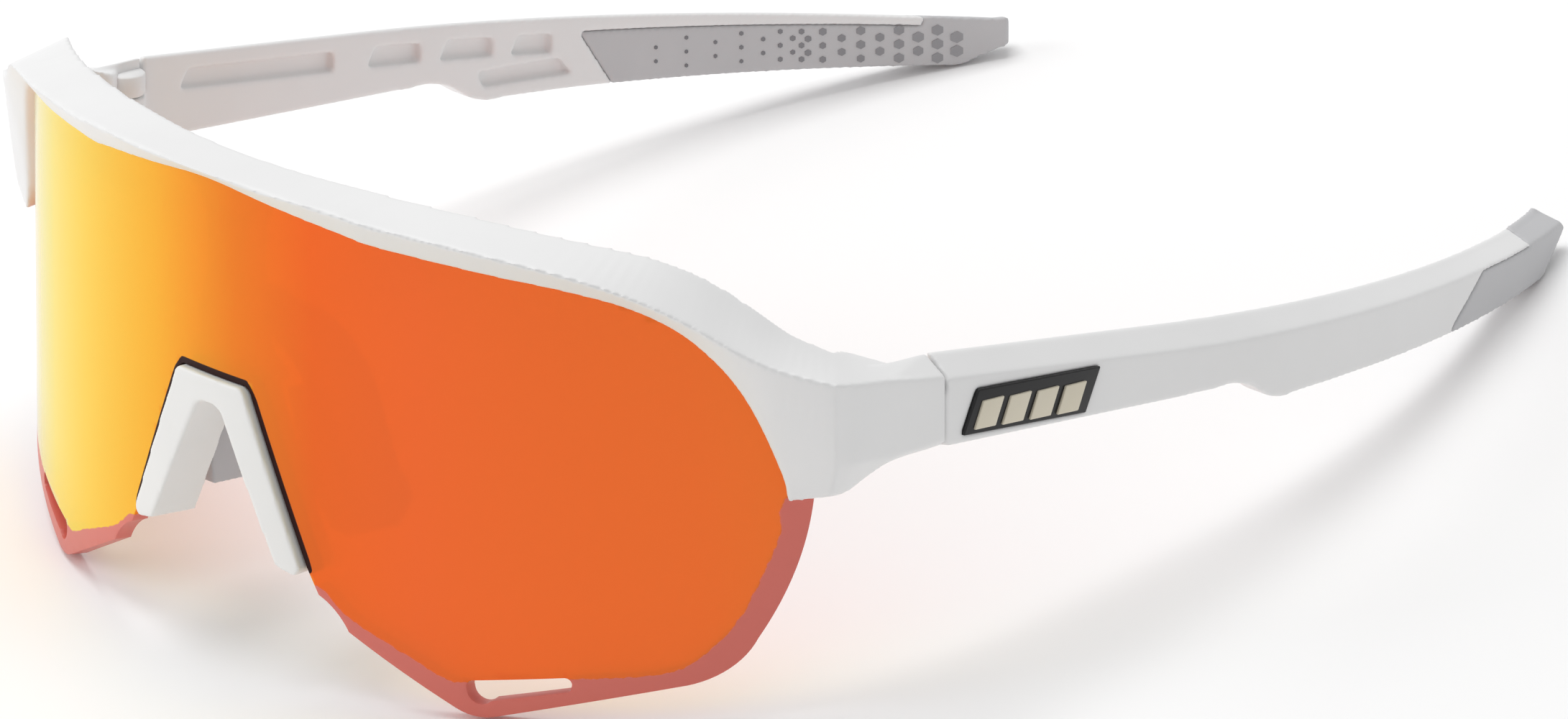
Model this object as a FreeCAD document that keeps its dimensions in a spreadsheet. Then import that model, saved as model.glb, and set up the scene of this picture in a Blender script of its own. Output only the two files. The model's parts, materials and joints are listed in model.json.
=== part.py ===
import FreeCAD, Part
import math
import os
import Sketcher

# Wraparound sport sunglasses, in millimetres.
# The pieces are drawn level, as the glasses are worn: +X is the wearer's left, +Y runs back along the
# temples and Z is up, from a datum level with the lens ends.  Every piece then gets one common placement,
# which tips the glasses back until the lens and the temple tips stand on Z = 0.

SIZES = [
    # the one-piece shield lens, a sector of an upright cylinder
    ("lens_radius", 94.0, "outer radius of the shield"),
    ("lens_thickness", 2.0, "wall of the shield"),
    ("lens_front", 27.5, "foremost line of the shield, ahead of the datum"),
    ("lens_half_width", 69.15, "half the width of the shield"),
    ("lens_drop", 29.2, "lowest points of the shield, below the datum"),
    ("lens_low_span", 37.4, "half the distance between the two lowest points"),
    ("lens_tuck", 1.2, "edge of the shield held in the brow groove"),
    ("vent_height", 2.4, "height of the vent slot in each lower corner"),
    ("cutout_top", 3.0, "top of the nose cut-out"),
    ("cutout_half_top", 5.6, "half width of the cut-out at its top"),
    ("cutout_half_foot", 15.2, "half width of the cut-out at its foot"),
    ("cutout_foot", 16.2, "foot of the cut-out, below the datum"),
    # the frame front
    ("brow_top", 28.6, "rear top edge of the brow"),
    ("brow_proud", 3.0, "brow crease ahead of the shield"),
    ("brow_behind", 4.0, "back of the brow behind the shield's outer face"),
    ("endpiece_step", 5.05, "temple's outer face outside the end of the shield"),
    ("corner_step", 0.9, "front corner of the endpiece outside the temple's outer face"),
    ("endpiece_top", 15.7, "rear top edge of the endpiece at its front corner"),
    ("corner_top", 14.8, "crease at the front corner of the endpiece"),
    ("corner_floor", 5.0, "lower crease at the front corner of the endpiece"),
    ("flange_floor", 1.2, "bottom of the flange under the endpiece"),
    ("strut_half_width", 3.9, "half width of the strut behind the shield"),
    ("strut_depth", 3.0, "depth of the strut"),
    ("nose_fit", 0.1, "clearance round the nose cover in the cut-out"),
    ("cover_proud", 0.9, "nose cover ahead of the shield"),
    ("cover_depth", 6.0, "nose cover from front to back"),
    ("cover_leg", 4.1, "width of each leg of the nose cover"),
    ("saddle_thickness", 3.0, "thickness of the nose saddle's arms"),
    ("pad_thickness", 3.4, "thickness of the rubber nose pads"),
    # the hinges
    ("hinge_setback", 12.6, "hinge axis behind the end of the shield"),
    ("hinge_inset", 3.7, "hinge axis inside the temple's outer face"),
    ("hinge_level", 8.5, "middle of the knuckle above the datum"),
    ("knuckle_radius", 2.4, "radius of the knuckle and the lugs"),
    ("knuckle_height", 3.0, "height of the temple's knuckle"),
    ("lug_height", 2.6, "height of each lug on the frame"),
    ("leaf_gap", 0.15, "gap above and below the knuckle"),
    ("swing_gap", 0.3, "gap round the knuckle and the lugs, and between the butted faces"),
    ("screw_radius", 0.75, "shank of the hinge screw"),
    ("screw_head_radius", 1.45, "head of the hinge screw"),
    ("screw_head_depth", 0.8, "depth of the screw's head"),
    ("running_fit", 0.04, "radial clearance of the screw in the bush"),
    ("bush_wall", 0.5, "wall of the bush in the knuckle"),
    ("insert_wall", 0.55, "wall of the threaded insert in the upper lug"),
    ("insert_cover", 0.6, "top of the upper lug over the insert"),
    # the temples
    ("temple_wall", 4.0, "thickness of a temple"),
    ("temple_straight", 34.6, "straight part of a temple behind the hinge axis"),
    ("temple_bend", 144.0, "radius of a temple's outer face behind the straight part"),
    ("temple_length", 115.0, "reach of a temple behind the hinge axis"),
    ("temple_front_top", 14.7, "inner top edge of a temple just ahead of the hinge"),
    ("temple_rear_top", 3.25, "inner top edge of a temple near its tip"),
    ("temple_crease", 2.2, "outer top edge of a temple below the inner one, at most"),
    ("temple_front_floor", 4.0, "bottom of a temple at the hinge, above the datum"),
    ("temple_rear_floor", 3.1, "bottom of a temple near its tip, below the datum"),
    ("pocket_depth", 1.1, "depth of the pockets inside a temple"),
    ("grip_wall", 2.0, "thickness of the rubber on the inner face"),
    ("badge_length", 20.0, "length of the badge"),
    ("badge_height", 5.0, "height of the badge"),
    ("badge_depth", 0.9, "thickness of the badge backing"),
    ("badge_recess", 0.5, "depth of the badge's recess"),
    ("badge_bar", 3.0, "width of a bar on the badge"),
    ("badge_bar_depth", 0.35, "height of the bars over the backing"),
]

doc = FreeCAD.newDocument("Sunglasses")
sheet = doc.addObject("Spreadsheet::Sheet", "Sizes")
for row, (alias, value, meaning) in enumerate(SIZES, start=1):
    sheet.set("A%d" % row, meaning)
    sheet.set("B%d" % row, str(value))
    sheet.setAlias("B%d" % row, alias)
doc.recompute()


class Size:
    """A number together with the sheet expression that gives it."""

    def __init__(self, text, number):
        self.text = text
        self.number = number

    def _join(self, sign, other, number):
        return Size("(%s %s %s)" % (self.text, sign, wrap(other).text), number)

    def __add__(self, other):
        return self._join("+", other, self.number + wrap(other).number)

    def __sub__(self, other):
        return self._join("-", other, self.number - wrap(other).number)

    def __mul__(self, other):
        return self._join("*", other, self.number * wrap(other).number)

    def __truediv__(self, other):
        return self._join("/", other, self.number / wrap(other).number)

    def __radd__(self, other):
        return wrap(other) + self

    def __rsub__(self, other):
        return wrap(other) - self

    def __neg__(self):
        return Size("(0 - %s)" % self.text, -self.number)

    def __float__(self):
        return float(self.number)


def wrap(value):
    """A plain number as a Size."""
    if isinstance(value, Size):
        return value
    return Size(repr(float(value)), float(value))


def root(value):
    """Square root of a Size."""
    return Size("sqrt(%s)" % value.text, math.sqrt(value.number))


def size(alias):
    """The sheet's cell of that name."""
    return Size("Sizes." + alias, float(sheet.get(alias)))


def bind(thing, **sizes):
    """Bind properties of a document object to sheet expressions."""
    for name, value in sizes.items():
        thing.setExpression(name, wrap(value).text)


# Places that follow from the sizes.
lens_radius = size("lens_radius")
half_width = size("lens_half_width")
axis_y = lens_radius - size("lens_front")


def lens_face(x, offset=0.0):
    """Y of the cylinder that lies offset outside the shield's outer face, at a given X."""
    radius = lens_radius + offset
    return axis_y - root(radius * radius - wrap(x) * wrap(x))


lens_end_y = lens_face(half_width)
outer_x = half_width + size("endpiece_step")
corner_x = outer_x + size("corner_step")
corner_y = lens_end_y - 1.6
hinge_x = outer_x - size("hinge_inset")
hinge_y = lens_end_y + size("hinge_setback")
seam_outer_y = hinge_y + 2.4
seam_inner_y = hinge_y - 1.2
knuckle_floor = size("hinge_level") - size("knuckle_height") / 2
knuckle_top = size("hinge_level") + size("knuckle_height") / 2
upper_lug_floor = knuckle_top + size("leaf_gap")
lower_lug_top = knuckle_floor - size("leaf_gap")
swing_radius = size("knuckle_radius") + size("swing_gap")
arm_inner_x = outer_x - size("temple_wall")
bend_y = hinge_y + size("temple_straight")
bend_x = outer_x - size("temple_bend")
arm_end_y = hinge_y + size("temple_length")

PLANES = {
    "XY": FreeCAD.Rotation(0, 0, 0),
    "XZ": FreeCAD.Rotation(FreeCAD.Vector(1, 0, 0), 90),
    "YZ": FreeCAD.Rotation(FreeCAD.Vector(1, 1, 1), 120),
}


def trace(sketch, corners):
    """Draw one closed outline.

    A corner is (u, v) or (u, v, radius): with a radius the edge that leaves it is an arc, to the left
    of the direction of travel where the radius is positive and to the right where it is negative.
    Each corner is held by two distances from the origin, bound to the sheet.
    """
    first = sketch.GeometryCount
    points = [(wrap(c[0]), wrap(c[1])) for c in corners]
    ends = []
    for i, corner in enumerate(corners):
        here = FreeCAD.Vector(float(points[i][0]), float(points[i][1]), 0)
        after = points[(i + 1) % len(points)]
        there = FreeCAD.Vector(float(after[0]), float(after[1]), 0)
        if len(corner) == 2:
            sketch.addGeometry(Part.LineSegment(here, there), False)
            ends.append((1, 2))
            continue
        radius = abs(float(corner[2]))
        turn = 1 if float(corner[2]) > 0 else -1
        chord = there - here
        rise = math.sqrt(radius ** 2 - (chord.Length / 2) ** 2)
        left = FreeCAD.Vector(-chord.y, chord.x, 0).normalize()
        centre = (here + there) * 0.5 + left * rise * turn
        start, stop = (here, there) if turn > 0 else (there, here)
        angle_a = math.atan2(start.y - centre.y, start.x - centre.x)
        angle_b = math.atan2(stop.y - centre.y, stop.x - centre.x)
        circle = Part.Circle(centre, FreeCAD.Vector(0, 0, 1), radius)
        sketch.addGeometry(Part.ArcOfCircle(circle, angle_a, angle_b), False)
        ends.append((1, 2) if turn > 0 else (2, 1))
    count = len(points)
    for i in range(count):
        after = (i + 1) % count
        sketch.addConstraint(Sketcher.Constraint("Coincident", first + i, ends[i][1],
                                                 first + after, ends[after][0]))
    for i, (u, v) in enumerate(points):
        for kind, value in (("DistanceX", u), ("DistanceY", v)):
            index = sketch.addConstraint(Sketcher.Constraint(kind, -1, 1, first + i, ends[i][0],
                                                             float(value)))
            if "Sizes" in value.text:
                sketch.setExpression("Constraints[%d]" % index, value.text)
        if len(corners[i]) == 3:
            radius = wrap(corners[i][2])
            radius = radius if float(radius) > 0 else -radius
            index = sketch.addConstraint(Sketcher.Constraint("Radius", first + i, float(radius)))
            if "Sizes" in radius.text:
                sketch.setExpression("Constraints[%d]" % index, radius.text)


def mirrored(half):
    """A whole outline from its right half, which runs from top centre round to bottom centre."""
    left = []
    first = 1 if float(wrap(half[0][0])) == 0.0 else 0
    for i in range(len(half) - 1, first - 1, -1):
        u, v = half[i][0], half[i][1]
        arc = half[i - 1][2:] if i > 0 else ()
        left.append((-wrap(u), v) + tuple(arc))
    return list(half) + left


def block(name, plane, outlines, length, centre=0.0):
    """A sketch on a datum plane, pushed equally both ways from a level of that plane."""
    sketch = doc.addObject("Sketcher::SketchObject", name + "_sketch")
    sketch.Placement = FreeCAD.Placement(FreeCAD.Vector(0, 0, 0), PLANES[plane])
    for corners in outlines:
        trace(sketch, corners)
    push = doc.addObject("Part::Extrusion", name)
    push.Base = sketch
    push.DirMode = "Normal"
    push.Solid = True
    push.LengthFwd = float(wrap(length) / 2 + centre)
    push.LengthRev = float(wrap(length) / 2 - centre)
    bind(push, LengthFwd=wrap(length) / 2 + centre, LengthRev=wrap(length) / 2 - centre)
    return push


def cylinder(name, x, y, z, radius, height):
    """An upright cylinder bound to the sheet."""
    post = doc.addObject("Part::Cylinder", name)
    bind(post, Radius=radius, Height=height)
    bind(post, **{"Placement.Base.x": x, "Placement.Base.y": y, "Placement.Base.z": z})
    return post


def combine(kind, name, shapes):
    """A boolean of document objects: Cut, MultiFuse or MultiCommon."""
    result = doc.addObject("Part::" + kind, name)
    if kind == "Cut":
        result.Base, result.Tool = shapes
    else:
        result.Shapes = shapes
    return result


def ring(name, inner, outer, reach, height=140.0):
    """An upright sector between two offsets from the shield's outer face, out to X = reach."""
    half = [
        (reach, lens_face(reach, outer), -(lens_radius + outer)),
        (-wrap(reach), lens_face(reach, outer)),
        (-wrap(reach), lens_face(reach, inner), lens_radius + inner),
        (reach, lens_face(reach, inner)),
    ]
    return block(name, "XY", [half], height)


# Stations along the shield from the middle out: share of the half width, then the heights of the brow's
# lower edge, of its front crease and of its rear top edge.
STATIONS = [
    (0.0, 26.3, 27.9, 0.0),
    (0.156, 25.4, 27.8, 0.0),
    (0.31, 24.2, 27.4, 0.0),
    (0.36, 23.75, 27.0, 0.1),
    (0.56, 22.9, 26.0, 0.9),
    (0.70, 22.0, 24.6, 1.9),
    (0.79, 20.5, 22.7, 2.8),
    (0.86, 17.6, 20.3, 4.6),
    (0.92, 12.0, 17.6, 7.6),
    (0.966, 3.0, 16.0, 10.6),
]


def lens_outline():
    """Half of the shield's outline in front view."""
    tuck = size("lens_tuck")
    top = [(half_width * share, wrap(low) + tuck) for share, low, crease, drop in STATIONS[:6]]
    low_x = size("lens_low_span")
    drop = size("lens_drop")
    return top + [
        (half_width * 0.86, 18.8, -24.0),
        (half_width, 4.0),
        (half_width, -0.6, -47.0),
        (half_width - 4.3, -16.8, -10.0),
        (half_width - 11.1, -23.1),
        (low_x + 2.4, -drop + 0.25, -6.3),
        (low_x - 2.4, -drop + 0.4),
        (size("cutout_half_foot") + 6.0, -22.5, 8.6),
        (size("cutout_half_foot") + 1.7, -19.0),
        (size("cutout_half_foot"), -size("cutout_foot")),
        (size("cutout_half_top") + 1.1, size("cutout_top") - 1.3, 1.7),
        (size("cutout_half_top"), size("cutout_top")),
    ]


def vent_outline(side):
    """The vent slot in one lower corner of the shield."""
    low_x = size("lens_low_span")
    floor = -size("lens_drop") + 1.9
    high = size("vent_height")
    points = [
        (low_x - 1.2, floor + 0.9),
        (low_x - 0.4, floor + 0.1 + high * 0.85),
        (low_x + 10.0, floor + 1.6 + high),
        (low_x + 10.4, floor + 1.2 + high * 0.7),
        (low_x + 1.6, floor),
    ]
    return [(x * side, z) for x, z in points]


# Where the endpiece turns into the hinge butt, ahead of the pin, and how far its crease falls to the seam.
BUTT = 5.6
SEAM_DROP = 2.7


def plain_sizes():
    """Every size on the sheet as a plain number."""
    return {alias: float(sheet.get(alias)) for alias, value, meaning in SIZES}


def frame_loft():
    """The brow and both endpieces as one ruled loft, from seam to seam."""
    number = plain_sizes()
    radius = number["lens_radius"]
    centre_y = float(axis_y)
    proud = number["brow_proud"]
    behind = number["brow_behind"]
    top = number["brow_top"]
    wires = []
    stations = []
    for share, low, crease, drop in STATIONS:
        turn = math.asin(share * number["lens_half_width"] / radius)
        spread = max(0.0, turn - math.radians(35.5))
        front = (radius + proud) / math.cos(spread)
        lip = radius + 0.6 + (proud - 0.6) * min(1.0, spread / 0.2) * 0.5
        section = [
            (radius - behind, low + 0.4),
            (lip, low),
            ((3 * lip + front) / 4, (3 * low + crease) / 4),
            ((lip + front) / 2, (low + crease) / 2),
            (front, crease),
            (radius - behind, top - drop),
        ]
        stations.append([(r * math.sin(turn), centre_y - r * math.cos(turn), z) for r, z in section])
    cx, cy, lx = float(corner_x), float(corner_y), number["lens_half_width"]
    hy, ox, inner = float(hinge_y), float(outer_x), float(arm_inner_x)
    seam_out, seam_in = float(seam_outer_y), float(seam_inner_y)
    back = inner - 4.2
    flange, low, crease, high = (number[key] for key in (
        "flange_floor", "corner_floor", "corner_top", "endpiece_top"))
    stations.append([(back + 1.2, cy + 6.0, flange + 0.4), (lx - 0.6, cy - 1.8, flange - 1.4),
                     (cx - 1.7, cy + 0.7, flange), (cx - 0.8, cy + 0.7, low),
                     (cx, cy, crease), (back + 1.2, cy + 5.6, high)])
    stations.append([(back + 0.8, cy + 7.2, flange + 0.9), (cx - 3.6, cy + 2.0, flange),
                     (cx - 1.6, cy + 2.9, flange + 0.1), (cx - 0.2, cy + 3.4, low),
                     (cx - 0.2, cy + 3.4, crease - 0.6), (back + 0.8, cy + 6.8, high - 0.3)])
    butt = hy - BUTT
    stations.append([(back, butt, 3.5), (cx - 2.0, butt, 3.4), (cx - 1.2, butt, 3.7),
                     (cx - 0.9, butt, low - 0.6), (cx - 0.9, butt, crease - 1.4), (back, butt, high - 0.9)])
    lean = (seam_out - seam_in) / (ox - inner)
    heel = back + 1.0
    stations.append([(x, seam_out - lean * (ox - x), z)
                     for x, z in ((heel, 4.0), (ox - 0.6, 4.0), (ox - 0.3, 4.2), (ox, 4.6),
                                  (ox, crease - SEAM_DROP), (heel, high - 1.5))])
    left = [[(-x, y, z) for x, y, z in section] for section in stations[:0:-1]]
    for section in left + stations:
        wires.append(Part.makePolygon([FreeCAD.Vector(*p) for p in section + section[:1]]))
    return Part.makeLoft(wires, True, True)


def hinge_cover():
    """The tab of the left endpiece that closes over the outer half of the knuckle."""
    number = plain_sizes()
    pin, outside, low = float(hinge_x), float(outer_x), float(upper_lug_floor)
    crease = number["corner_top"] - SEAM_DROP
    ridge = number["endpiece_top"] - 1.6
    front_lift = 0.9
    wires = []
    for y, lift in ((float(hinge_y) - BUTT, front_lift), (float(seam_outer_y), 0.0)):
        corners = [(pin, low), (outside, low), (outside, crease + lift), (pin, ridge)]
        wires.append(Part.makePolygon([FreeCAD.Vector(x, y, z) for x, z in corners + corners[:1]]))
    cover = doc.addObject("Part::Feature", "hinge_cover")
    cover.Shape = Part.makeLoft(wires, True, True)
    return cover


def revolve(name, profile):
    """A PartDesign body turned about the upright axis from a half profile of (radius, height)."""
    body = doc.addObject("PartDesign::Body", name)
    sketch = body.newObject("Sketcher::SketchObject", name + "_profile")
    plane = [f for f in body.Origin.OriginFeatures if f.Role == "XZ_Plane"][0]
    sketch.AttachmentSupport = [(plane, "")]
    sketch.MapMode = "FlatFace"
    trace(sketch, profile)
    turned = body.newObject("PartDesign::Revolution", name + "_turned")
    turned.Profile = sketch
    turned.ReferenceAxis = (sketch, ["V_Axis"])
    turned.Angle = 360
    return body


def stand(body, x, y, z):
    """Bind where a turned body stands."""
    bind(body, **{"Placement.Base.x": x, "Placement.Base.y": y, "Placement.Base.z": z})
    return body


PIECES = []


def piece(name, thing):
    """Name a finished sub-part."""
    thing.Label = name
    PIECES.append(thing)
    return thing


def pair(name, thing):
    """Name a left-hand sub-part and add its mirror image for the right."""
    piece(name + "_left", thing)
    other = doc.addObject("Part::Mirroring", name + "_mirror")
    other.Source = thing
    other.Base = FreeCAD.Vector(0, 0, 0)
    other.Normal = FreeCAD.Vector(1, 0, 0)
    piece(name + "_right", other)


def build_lens():
    """The shield: a cylinder wall cut to its outline, with a vent slot in each lower corner."""
    wall = ring("lens_wall", -size("lens_thickness"), 0.0, half_width)
    outline = block("lens_outline", "XZ", [mirrored(lens_outline())], 160.0)
    vents = [block("vent_%s" % side, "XZ", [vent_outline(sign)], 160.0)
             for side, sign in (("left", 1), ("right", -1))]
    blank = combine("MultiCommon", "lens_blank", [wall, outline])
    first = combine("Cut", "lens_one_vent", [blank, vents[0]])
    return piece("lens_shield", combine("Cut", "lens_shield", [first, vents[1]]))


def hinge_stack(prefix, radius, floor, height):
    """A cylinder on the left hinge axis."""
    return cylinder(prefix, hinge_x, hinge_y, floor, radius, height)


def build_frame(lens):
    """Brow, endpieces, strut and hinge lugs, grooved for the shield."""
    loft = doc.addObject("Part::Feature", "brow_loft")
    loft.Shape = frame_loft()
    half = size("strut_half_width")
    strut_front = -size("lens_thickness")
    strut_ring = ring("strut_wall", strut_front - size("strut_depth"), strut_front, 30.0)
    strut_outline = block("strut_outline", "XZ", [mirrored([
        (0, 27.2), (half + 5.6, 26.4), (half + 4.6, 24.4), (half, 20.0),
        (half, 8.6), (half + 4.0, 4.4), (half + 4.0, 3.2), (half - 1.2, 3.2, 3.6), (0.6, 4.4)])], 160.0)
    strut = combine("MultiCommon", "strut", [strut_ring, strut_outline])
    grown = combine("MultiFuse", "frame_blank", [loft, strut])
    grooved = combine("Cut", "frame_grooved", [grown, lens])
    knuckle_room = hinge_stack("knuckle_room", swing_radius, lower_lug_top,
                               upper_lug_floor - lower_lug_top)
    radius = size("knuckle_radius")
    lug_height = size("lug_height")
    lower = hinge_stack("lug_lower", radius, lower_lug_top - lug_height, lug_height)
    upper = hinge_stack("lug_upper", radius, upper_lug_floor, lug_height)
    lugs = combine("MultiFuse", "lugs", [lower, upper, hinge_cover()])
    lug_floor = lower_lug_top - lug_height
    insert_height = lug_height - size("insert_cover")
    shank = hinge_stack("screw_hole", size("screw_radius"), lug_floor - 1.0,
                        upper_lug_floor + insert_height - lug_floor + 1.0)
    head = hinge_stack("screw_seat", size("screw_head_radius"), lug_floor - 1.0,
                       size("screw_head_depth") + 1.0)
    seat = hinge_stack("insert_seat", size("screw_radius") + size("insert_wall"), upper_lug_floor,
                       insert_height)
    bores = combine("MultiFuse", "frame_bores", [shank, head, seat])
    result = grooved
    for side in ("left", "right"):
        tools = [knuckle_room, lugs, bores]
        if side == "right":
            for i, tool in enumerate(tools):
                twin = doc.addObject("Part::Mirroring", "hinge_tool_%d" % i)
                twin.Source = tool
                twin.Normal = FreeCAD.Vector(1, 0, 0)
                tools[i] = twin
        result = combine("Cut", "frame_cleared_" + side, [result, tools[0]])
        result = combine("MultiFuse", "frame_lugged_" + side, [result, tools[1]])
        result = combine("Cut", "frame_bored_" + side, [result, tools[2]])
    return piece("frame_front", result)


def build_hinge_hardware():
    """Screw, bush and threaded insert on each hinge axis."""
    lug_floor = lower_lug_top - size("lug_height")
    tall = size("lug_height") - size("insert_cover")
    length = upper_lug_floor + tall - lug_floor - 0.3
    shank = size("screw_radius")
    head = size("screw_head_radius")
    seat = size("screw_head_depth")
    screw = revolve("hinge_screw", [(0, 0), (head - 0.25, 0), (head, 0.25), (head, seat),
                                    (shank, seat), (shank, length), (0, length)])
    pair("hinge_screw", stand(screw, hinge_x, hinge_y, lug_floor))
    bore = shank + size("running_fit")
    wall = bore + size("bush_wall")
    high = size("knuckle_height")
    bush = revolve("hinge_bush", [(bore, 0), (wall, 0), (wall, high), (bore, high)])
    pair("hinge_bush", stand(bush, hinge_x, hinge_y, knuckle_floor))
    rim = shank + size("insert_wall")
    insert = revolve("hinge_insert", [(shank, 0), (rim, 0), (rim, tall), (shank, tall)])
    pair("hinge_insert", stand(insert, hinge_x, hinge_y, upper_lug_floor))


def arm_plan(name, inner_offset, outer_offset, front_out, front_in, overrun=0.0):
    """A temple's plan between two offsets from its outer face, pushed up through its whole height."""
    outer = outer_x - outer_offset
    inner = outer_x - inner_offset
    outer_bend = size("temple_bend") - outer_offset
    inner_bend = size("temple_bend") - inner_offset
    reach = arm_end_y + overrun - bend_y
    end_outer = bend_x + root(outer_bend * outer_bend - reach * reach)
    tail = reach - 2.5
    end_inner = bend_x + root(inner_bend * inner_bend - tail * tail)
    return block(name, "XY", [[
        (outer, front_out), (outer, bend_y, outer_bend), (end_outer, bend_y + reach),
        (end_inner, bend_y + tail, -inner_bend), (inner, bend_y), (inner, front_in)]], 80.0)


def arm_side():
    """A temple's side view: slim behind the hinge, deeper from the kink back, with a blunt tip."""
    top = size("temple_front_top")
    floor = size("temple_front_floor")
    rear = size("temple_rear_top")
    low = -size("temple_rear_floor")
    return [
        (hinge_y - 4.0, top), (arm_end_y - 13.0, rear), (arm_end_y - 7.0, rear - 0.5),
        (arm_end_y - 3.6, rear - 0.8, -1.6), (arm_end_y - 1.6, rear - 1.5), (arm_end_y, 0.3),
        (arm_end_y - 6.0, low + 0.6, -2.6), (arm_end_y - 8.4, low),
        (bend_y + 30.0, -1.3), (bend_y + 20.0, -1.0, -7.0), (bend_y + 14.6, 0.3, 9.0),
        (bend_y + 7.6, 2.3), (bend_y, 2.6), (hinge_y, floor), (hinge_y - 4.0, floor)]


def crease_cutter():
    """A wedge along the outer top edge of the left temple, which leaves a face that slopes outward."""
    number = plain_sizes()
    wall, bend, drop = number["temple_wall"], number["temple_bend"], number["temple_crease"]
    rear = number["temple_rear_top"]
    strip = wall - 0.8
    first, last = float(hinge_y) - 4.0, float(arm_end_y) - 13.0
    turn_y, centre_x, outer = float(bend_y), float(bend_x), float(outer_x)
    slope = (number["temple_front_top"] - rear) / (last - first)
    wires = []
    for step in range(25):
        y = first - 4.0 + (float(arm_end_y) + 1.0 - first + 4.0) * step / 24
        top = rear + slope * (last - y) * (1.0 if y < last else 0.8)
        fade = min(1.0, max(0.4, 0.4 + (last - 5.0 - y) / 90.0))
        straight = y <= turn_y
        angle = 0.0 if straight else math.asin((y - turn_y) / bend)
        corners = []
        for depth, z in ((strip, top + 0.02), (0.0, top - drop * fade), (-1.0, top - drop * fade),
                         (-1.0, top + 4.0), (strip, top + 4.0)):
            reach = bend - depth
            corners.append((outer - depth, y, z) if straight else
                           (centre_x + reach * math.cos(angle), turn_y + reach * math.sin(angle), z))
        wires.append(Part.makePolygon([FreeCAD.Vector(*p) for p in corners + corners[:1]]))
    cutter = doc.addObject("Part::Feature", "crease_cutter")
    cutter.Shape = Part.makeLoft(wires, True, True)
    return cutter


def pocket_outlines():
    """The moulded pockets on a temple's inner face, front to back, and the one below them."""
    top = size("temple_front_top")
    front = hinge_y - 4.0
    slope = (top - size("temple_rear_top")) / (arm_end_y - 13.0 - front)
    start = hinge_y + 8.0
    upper = []
    for y, run in ((start, 22.5), (start + 27.6, 7.6), (start + 38.0, 7.2), (start + 47.6, 5.4)):
        edge = top - slope * (y - front)
        rear_edge = edge - slope * run
        upper.append([(y, edge - 4.3), (y + run, rear_edge - 4.3), (y + run, rear_edge - 2.0),
                      (y + 1.2, edge - 2.1)])
    lower = [[(start + 44.0, 0.7), (start + 55.6, 0.5), (start + 54.0, 2.6), (start + 43.2, 2.6)]]
    return upper + lower


def build_temples():
    """Each temple with its knuckle, pockets and badge recess, and its rubber tip."""
    gap = size("swing_gap")
    wall = size("temple_wall")
    plan = arm_plan("arm_plan", wall, wrap(0.0), seam_outer_y + gap, seam_inner_y + gap)
    side = block("arm_side", "YZ", [arm_side()], 60.0, 60.0)
    envelope = combine("Cut", "arm_envelope",
                       [combine("MultiCommon", "arm_blank", [plan, side]), crease_cutter()])
    grip = size("grip_wall")
    inner_plan = arm_plan("grip_plan", wall + 1.0, wall - grip, seam_outer_y, seam_inner_y, 6.0)
    outer_plan = arm_plan("shell_plan", wall + 1.0, wrap(-1.0), seam_outer_y, seam_inner_y, 6.0)
    rear = arm_end_y + 6.0
    inner_side = block("grip_side", "YZ", [[
        (arm_end_y - 50.4, 5.4), (arm_end_y - 11.0, 1.9), (arm_end_y - 10.0, 12.0), (rear, 12.0),
        (rear, -12.0), (arm_end_y - 39.0, -12.0), (arm_end_y - 46.6, -0.9)]], 60.0, 60.0)
    outer_side = block("shell_side", "YZ", [[
        (arm_end_y - 23.3, 3.0), (arm_end_y - 11.0, 1.9), (arm_end_y - 10.0, 12.0), (rear, 12.0),
        (rear, -12.0), (arm_end_y - 37.0, -12.0), (arm_end_y - 30.1, -1.4)]], 60.0, 60.0)
    grip_half = combine("MultiCommon", "grip_half", [inner_plan, inner_side])
    shell_half = combine("MultiCommon", "shell_half", [outer_plan, outer_side])
    region = combine("MultiFuse", "tip_region", [grip_half, shell_half])
    tip = combine("MultiCommon", "temple_tip", [envelope, region])
    arm = combine("Cut", "arm_short", [envelope, region])
    pocket_plan = arm_plan("pocket_plan", wall + 1.0, wall - size("pocket_depth"),
                           seam_outer_y, seam_inner_y)
    pocket_side = block("pocket_side", "YZ", pocket_outlines(), 60.0, 60.0)
    pockets = combine("MultiCommon", "pockets", [pocket_plan, pocket_side])
    pocketed = combine("Cut", "arm_pocketed", [arm, pockets])
    room_low = hinge_stack("lug_room_low", swing_radius, -10.0, knuckle_floor + 10.0)
    room_top = hinge_stack("lug_room_top", swing_radius, knuckle_top, 20.0)
    butt = seam_outer_y + gap
    room_tab = block("cover_room", "XY", [[
        (hinge_x, 0.0), (outer_x + 2.0, 0.0), (outer_x + 2.0, butt), (hinge_x, butt)]],
        20.0, knuckle_top + 10.0)
    rooms = combine("MultiFuse", "lug_rooms", [room_low, room_top, room_tab])
    cleared = combine("Cut", "arm_cleared", [pocketed, rooms])
    knuckle = hinge_stack("knuckle", size("knuckle_radius"), knuckle_floor, size("knuckle_height"))
    knuckled = combine("MultiFuse", "arm_knuckled", [cleared, knuckle])
    bore = hinge_stack("bush_seat", size("screw_radius") + size("running_fit") + size("bush_wall"),
                       knuckle_floor - 1.0, size("knuckle_height") + 2.0)
    bored = combine("Cut", "arm_bored", [knuckled, bore])
    recess = badge_block("badge_recess", [badge_outline()], -size("badge_recess"), wrap(2.0))
    pair("temple", combine("Cut", "temple", [bored, recess]))
    pair("temple_tip", tip)


def badge_outline():
    """The badge's slanted outline in side view."""
    start = hinge_y + 4.6
    floor = 4.8
    fall = 1.0
    lean = 2.2
    high = size("badge_height")
    long = size("badge_length")
    return [(start, floor), (start + long - lean, floor - fall), (start + long, floor - fall + high),
            (start + lean, floor + high)]


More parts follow.
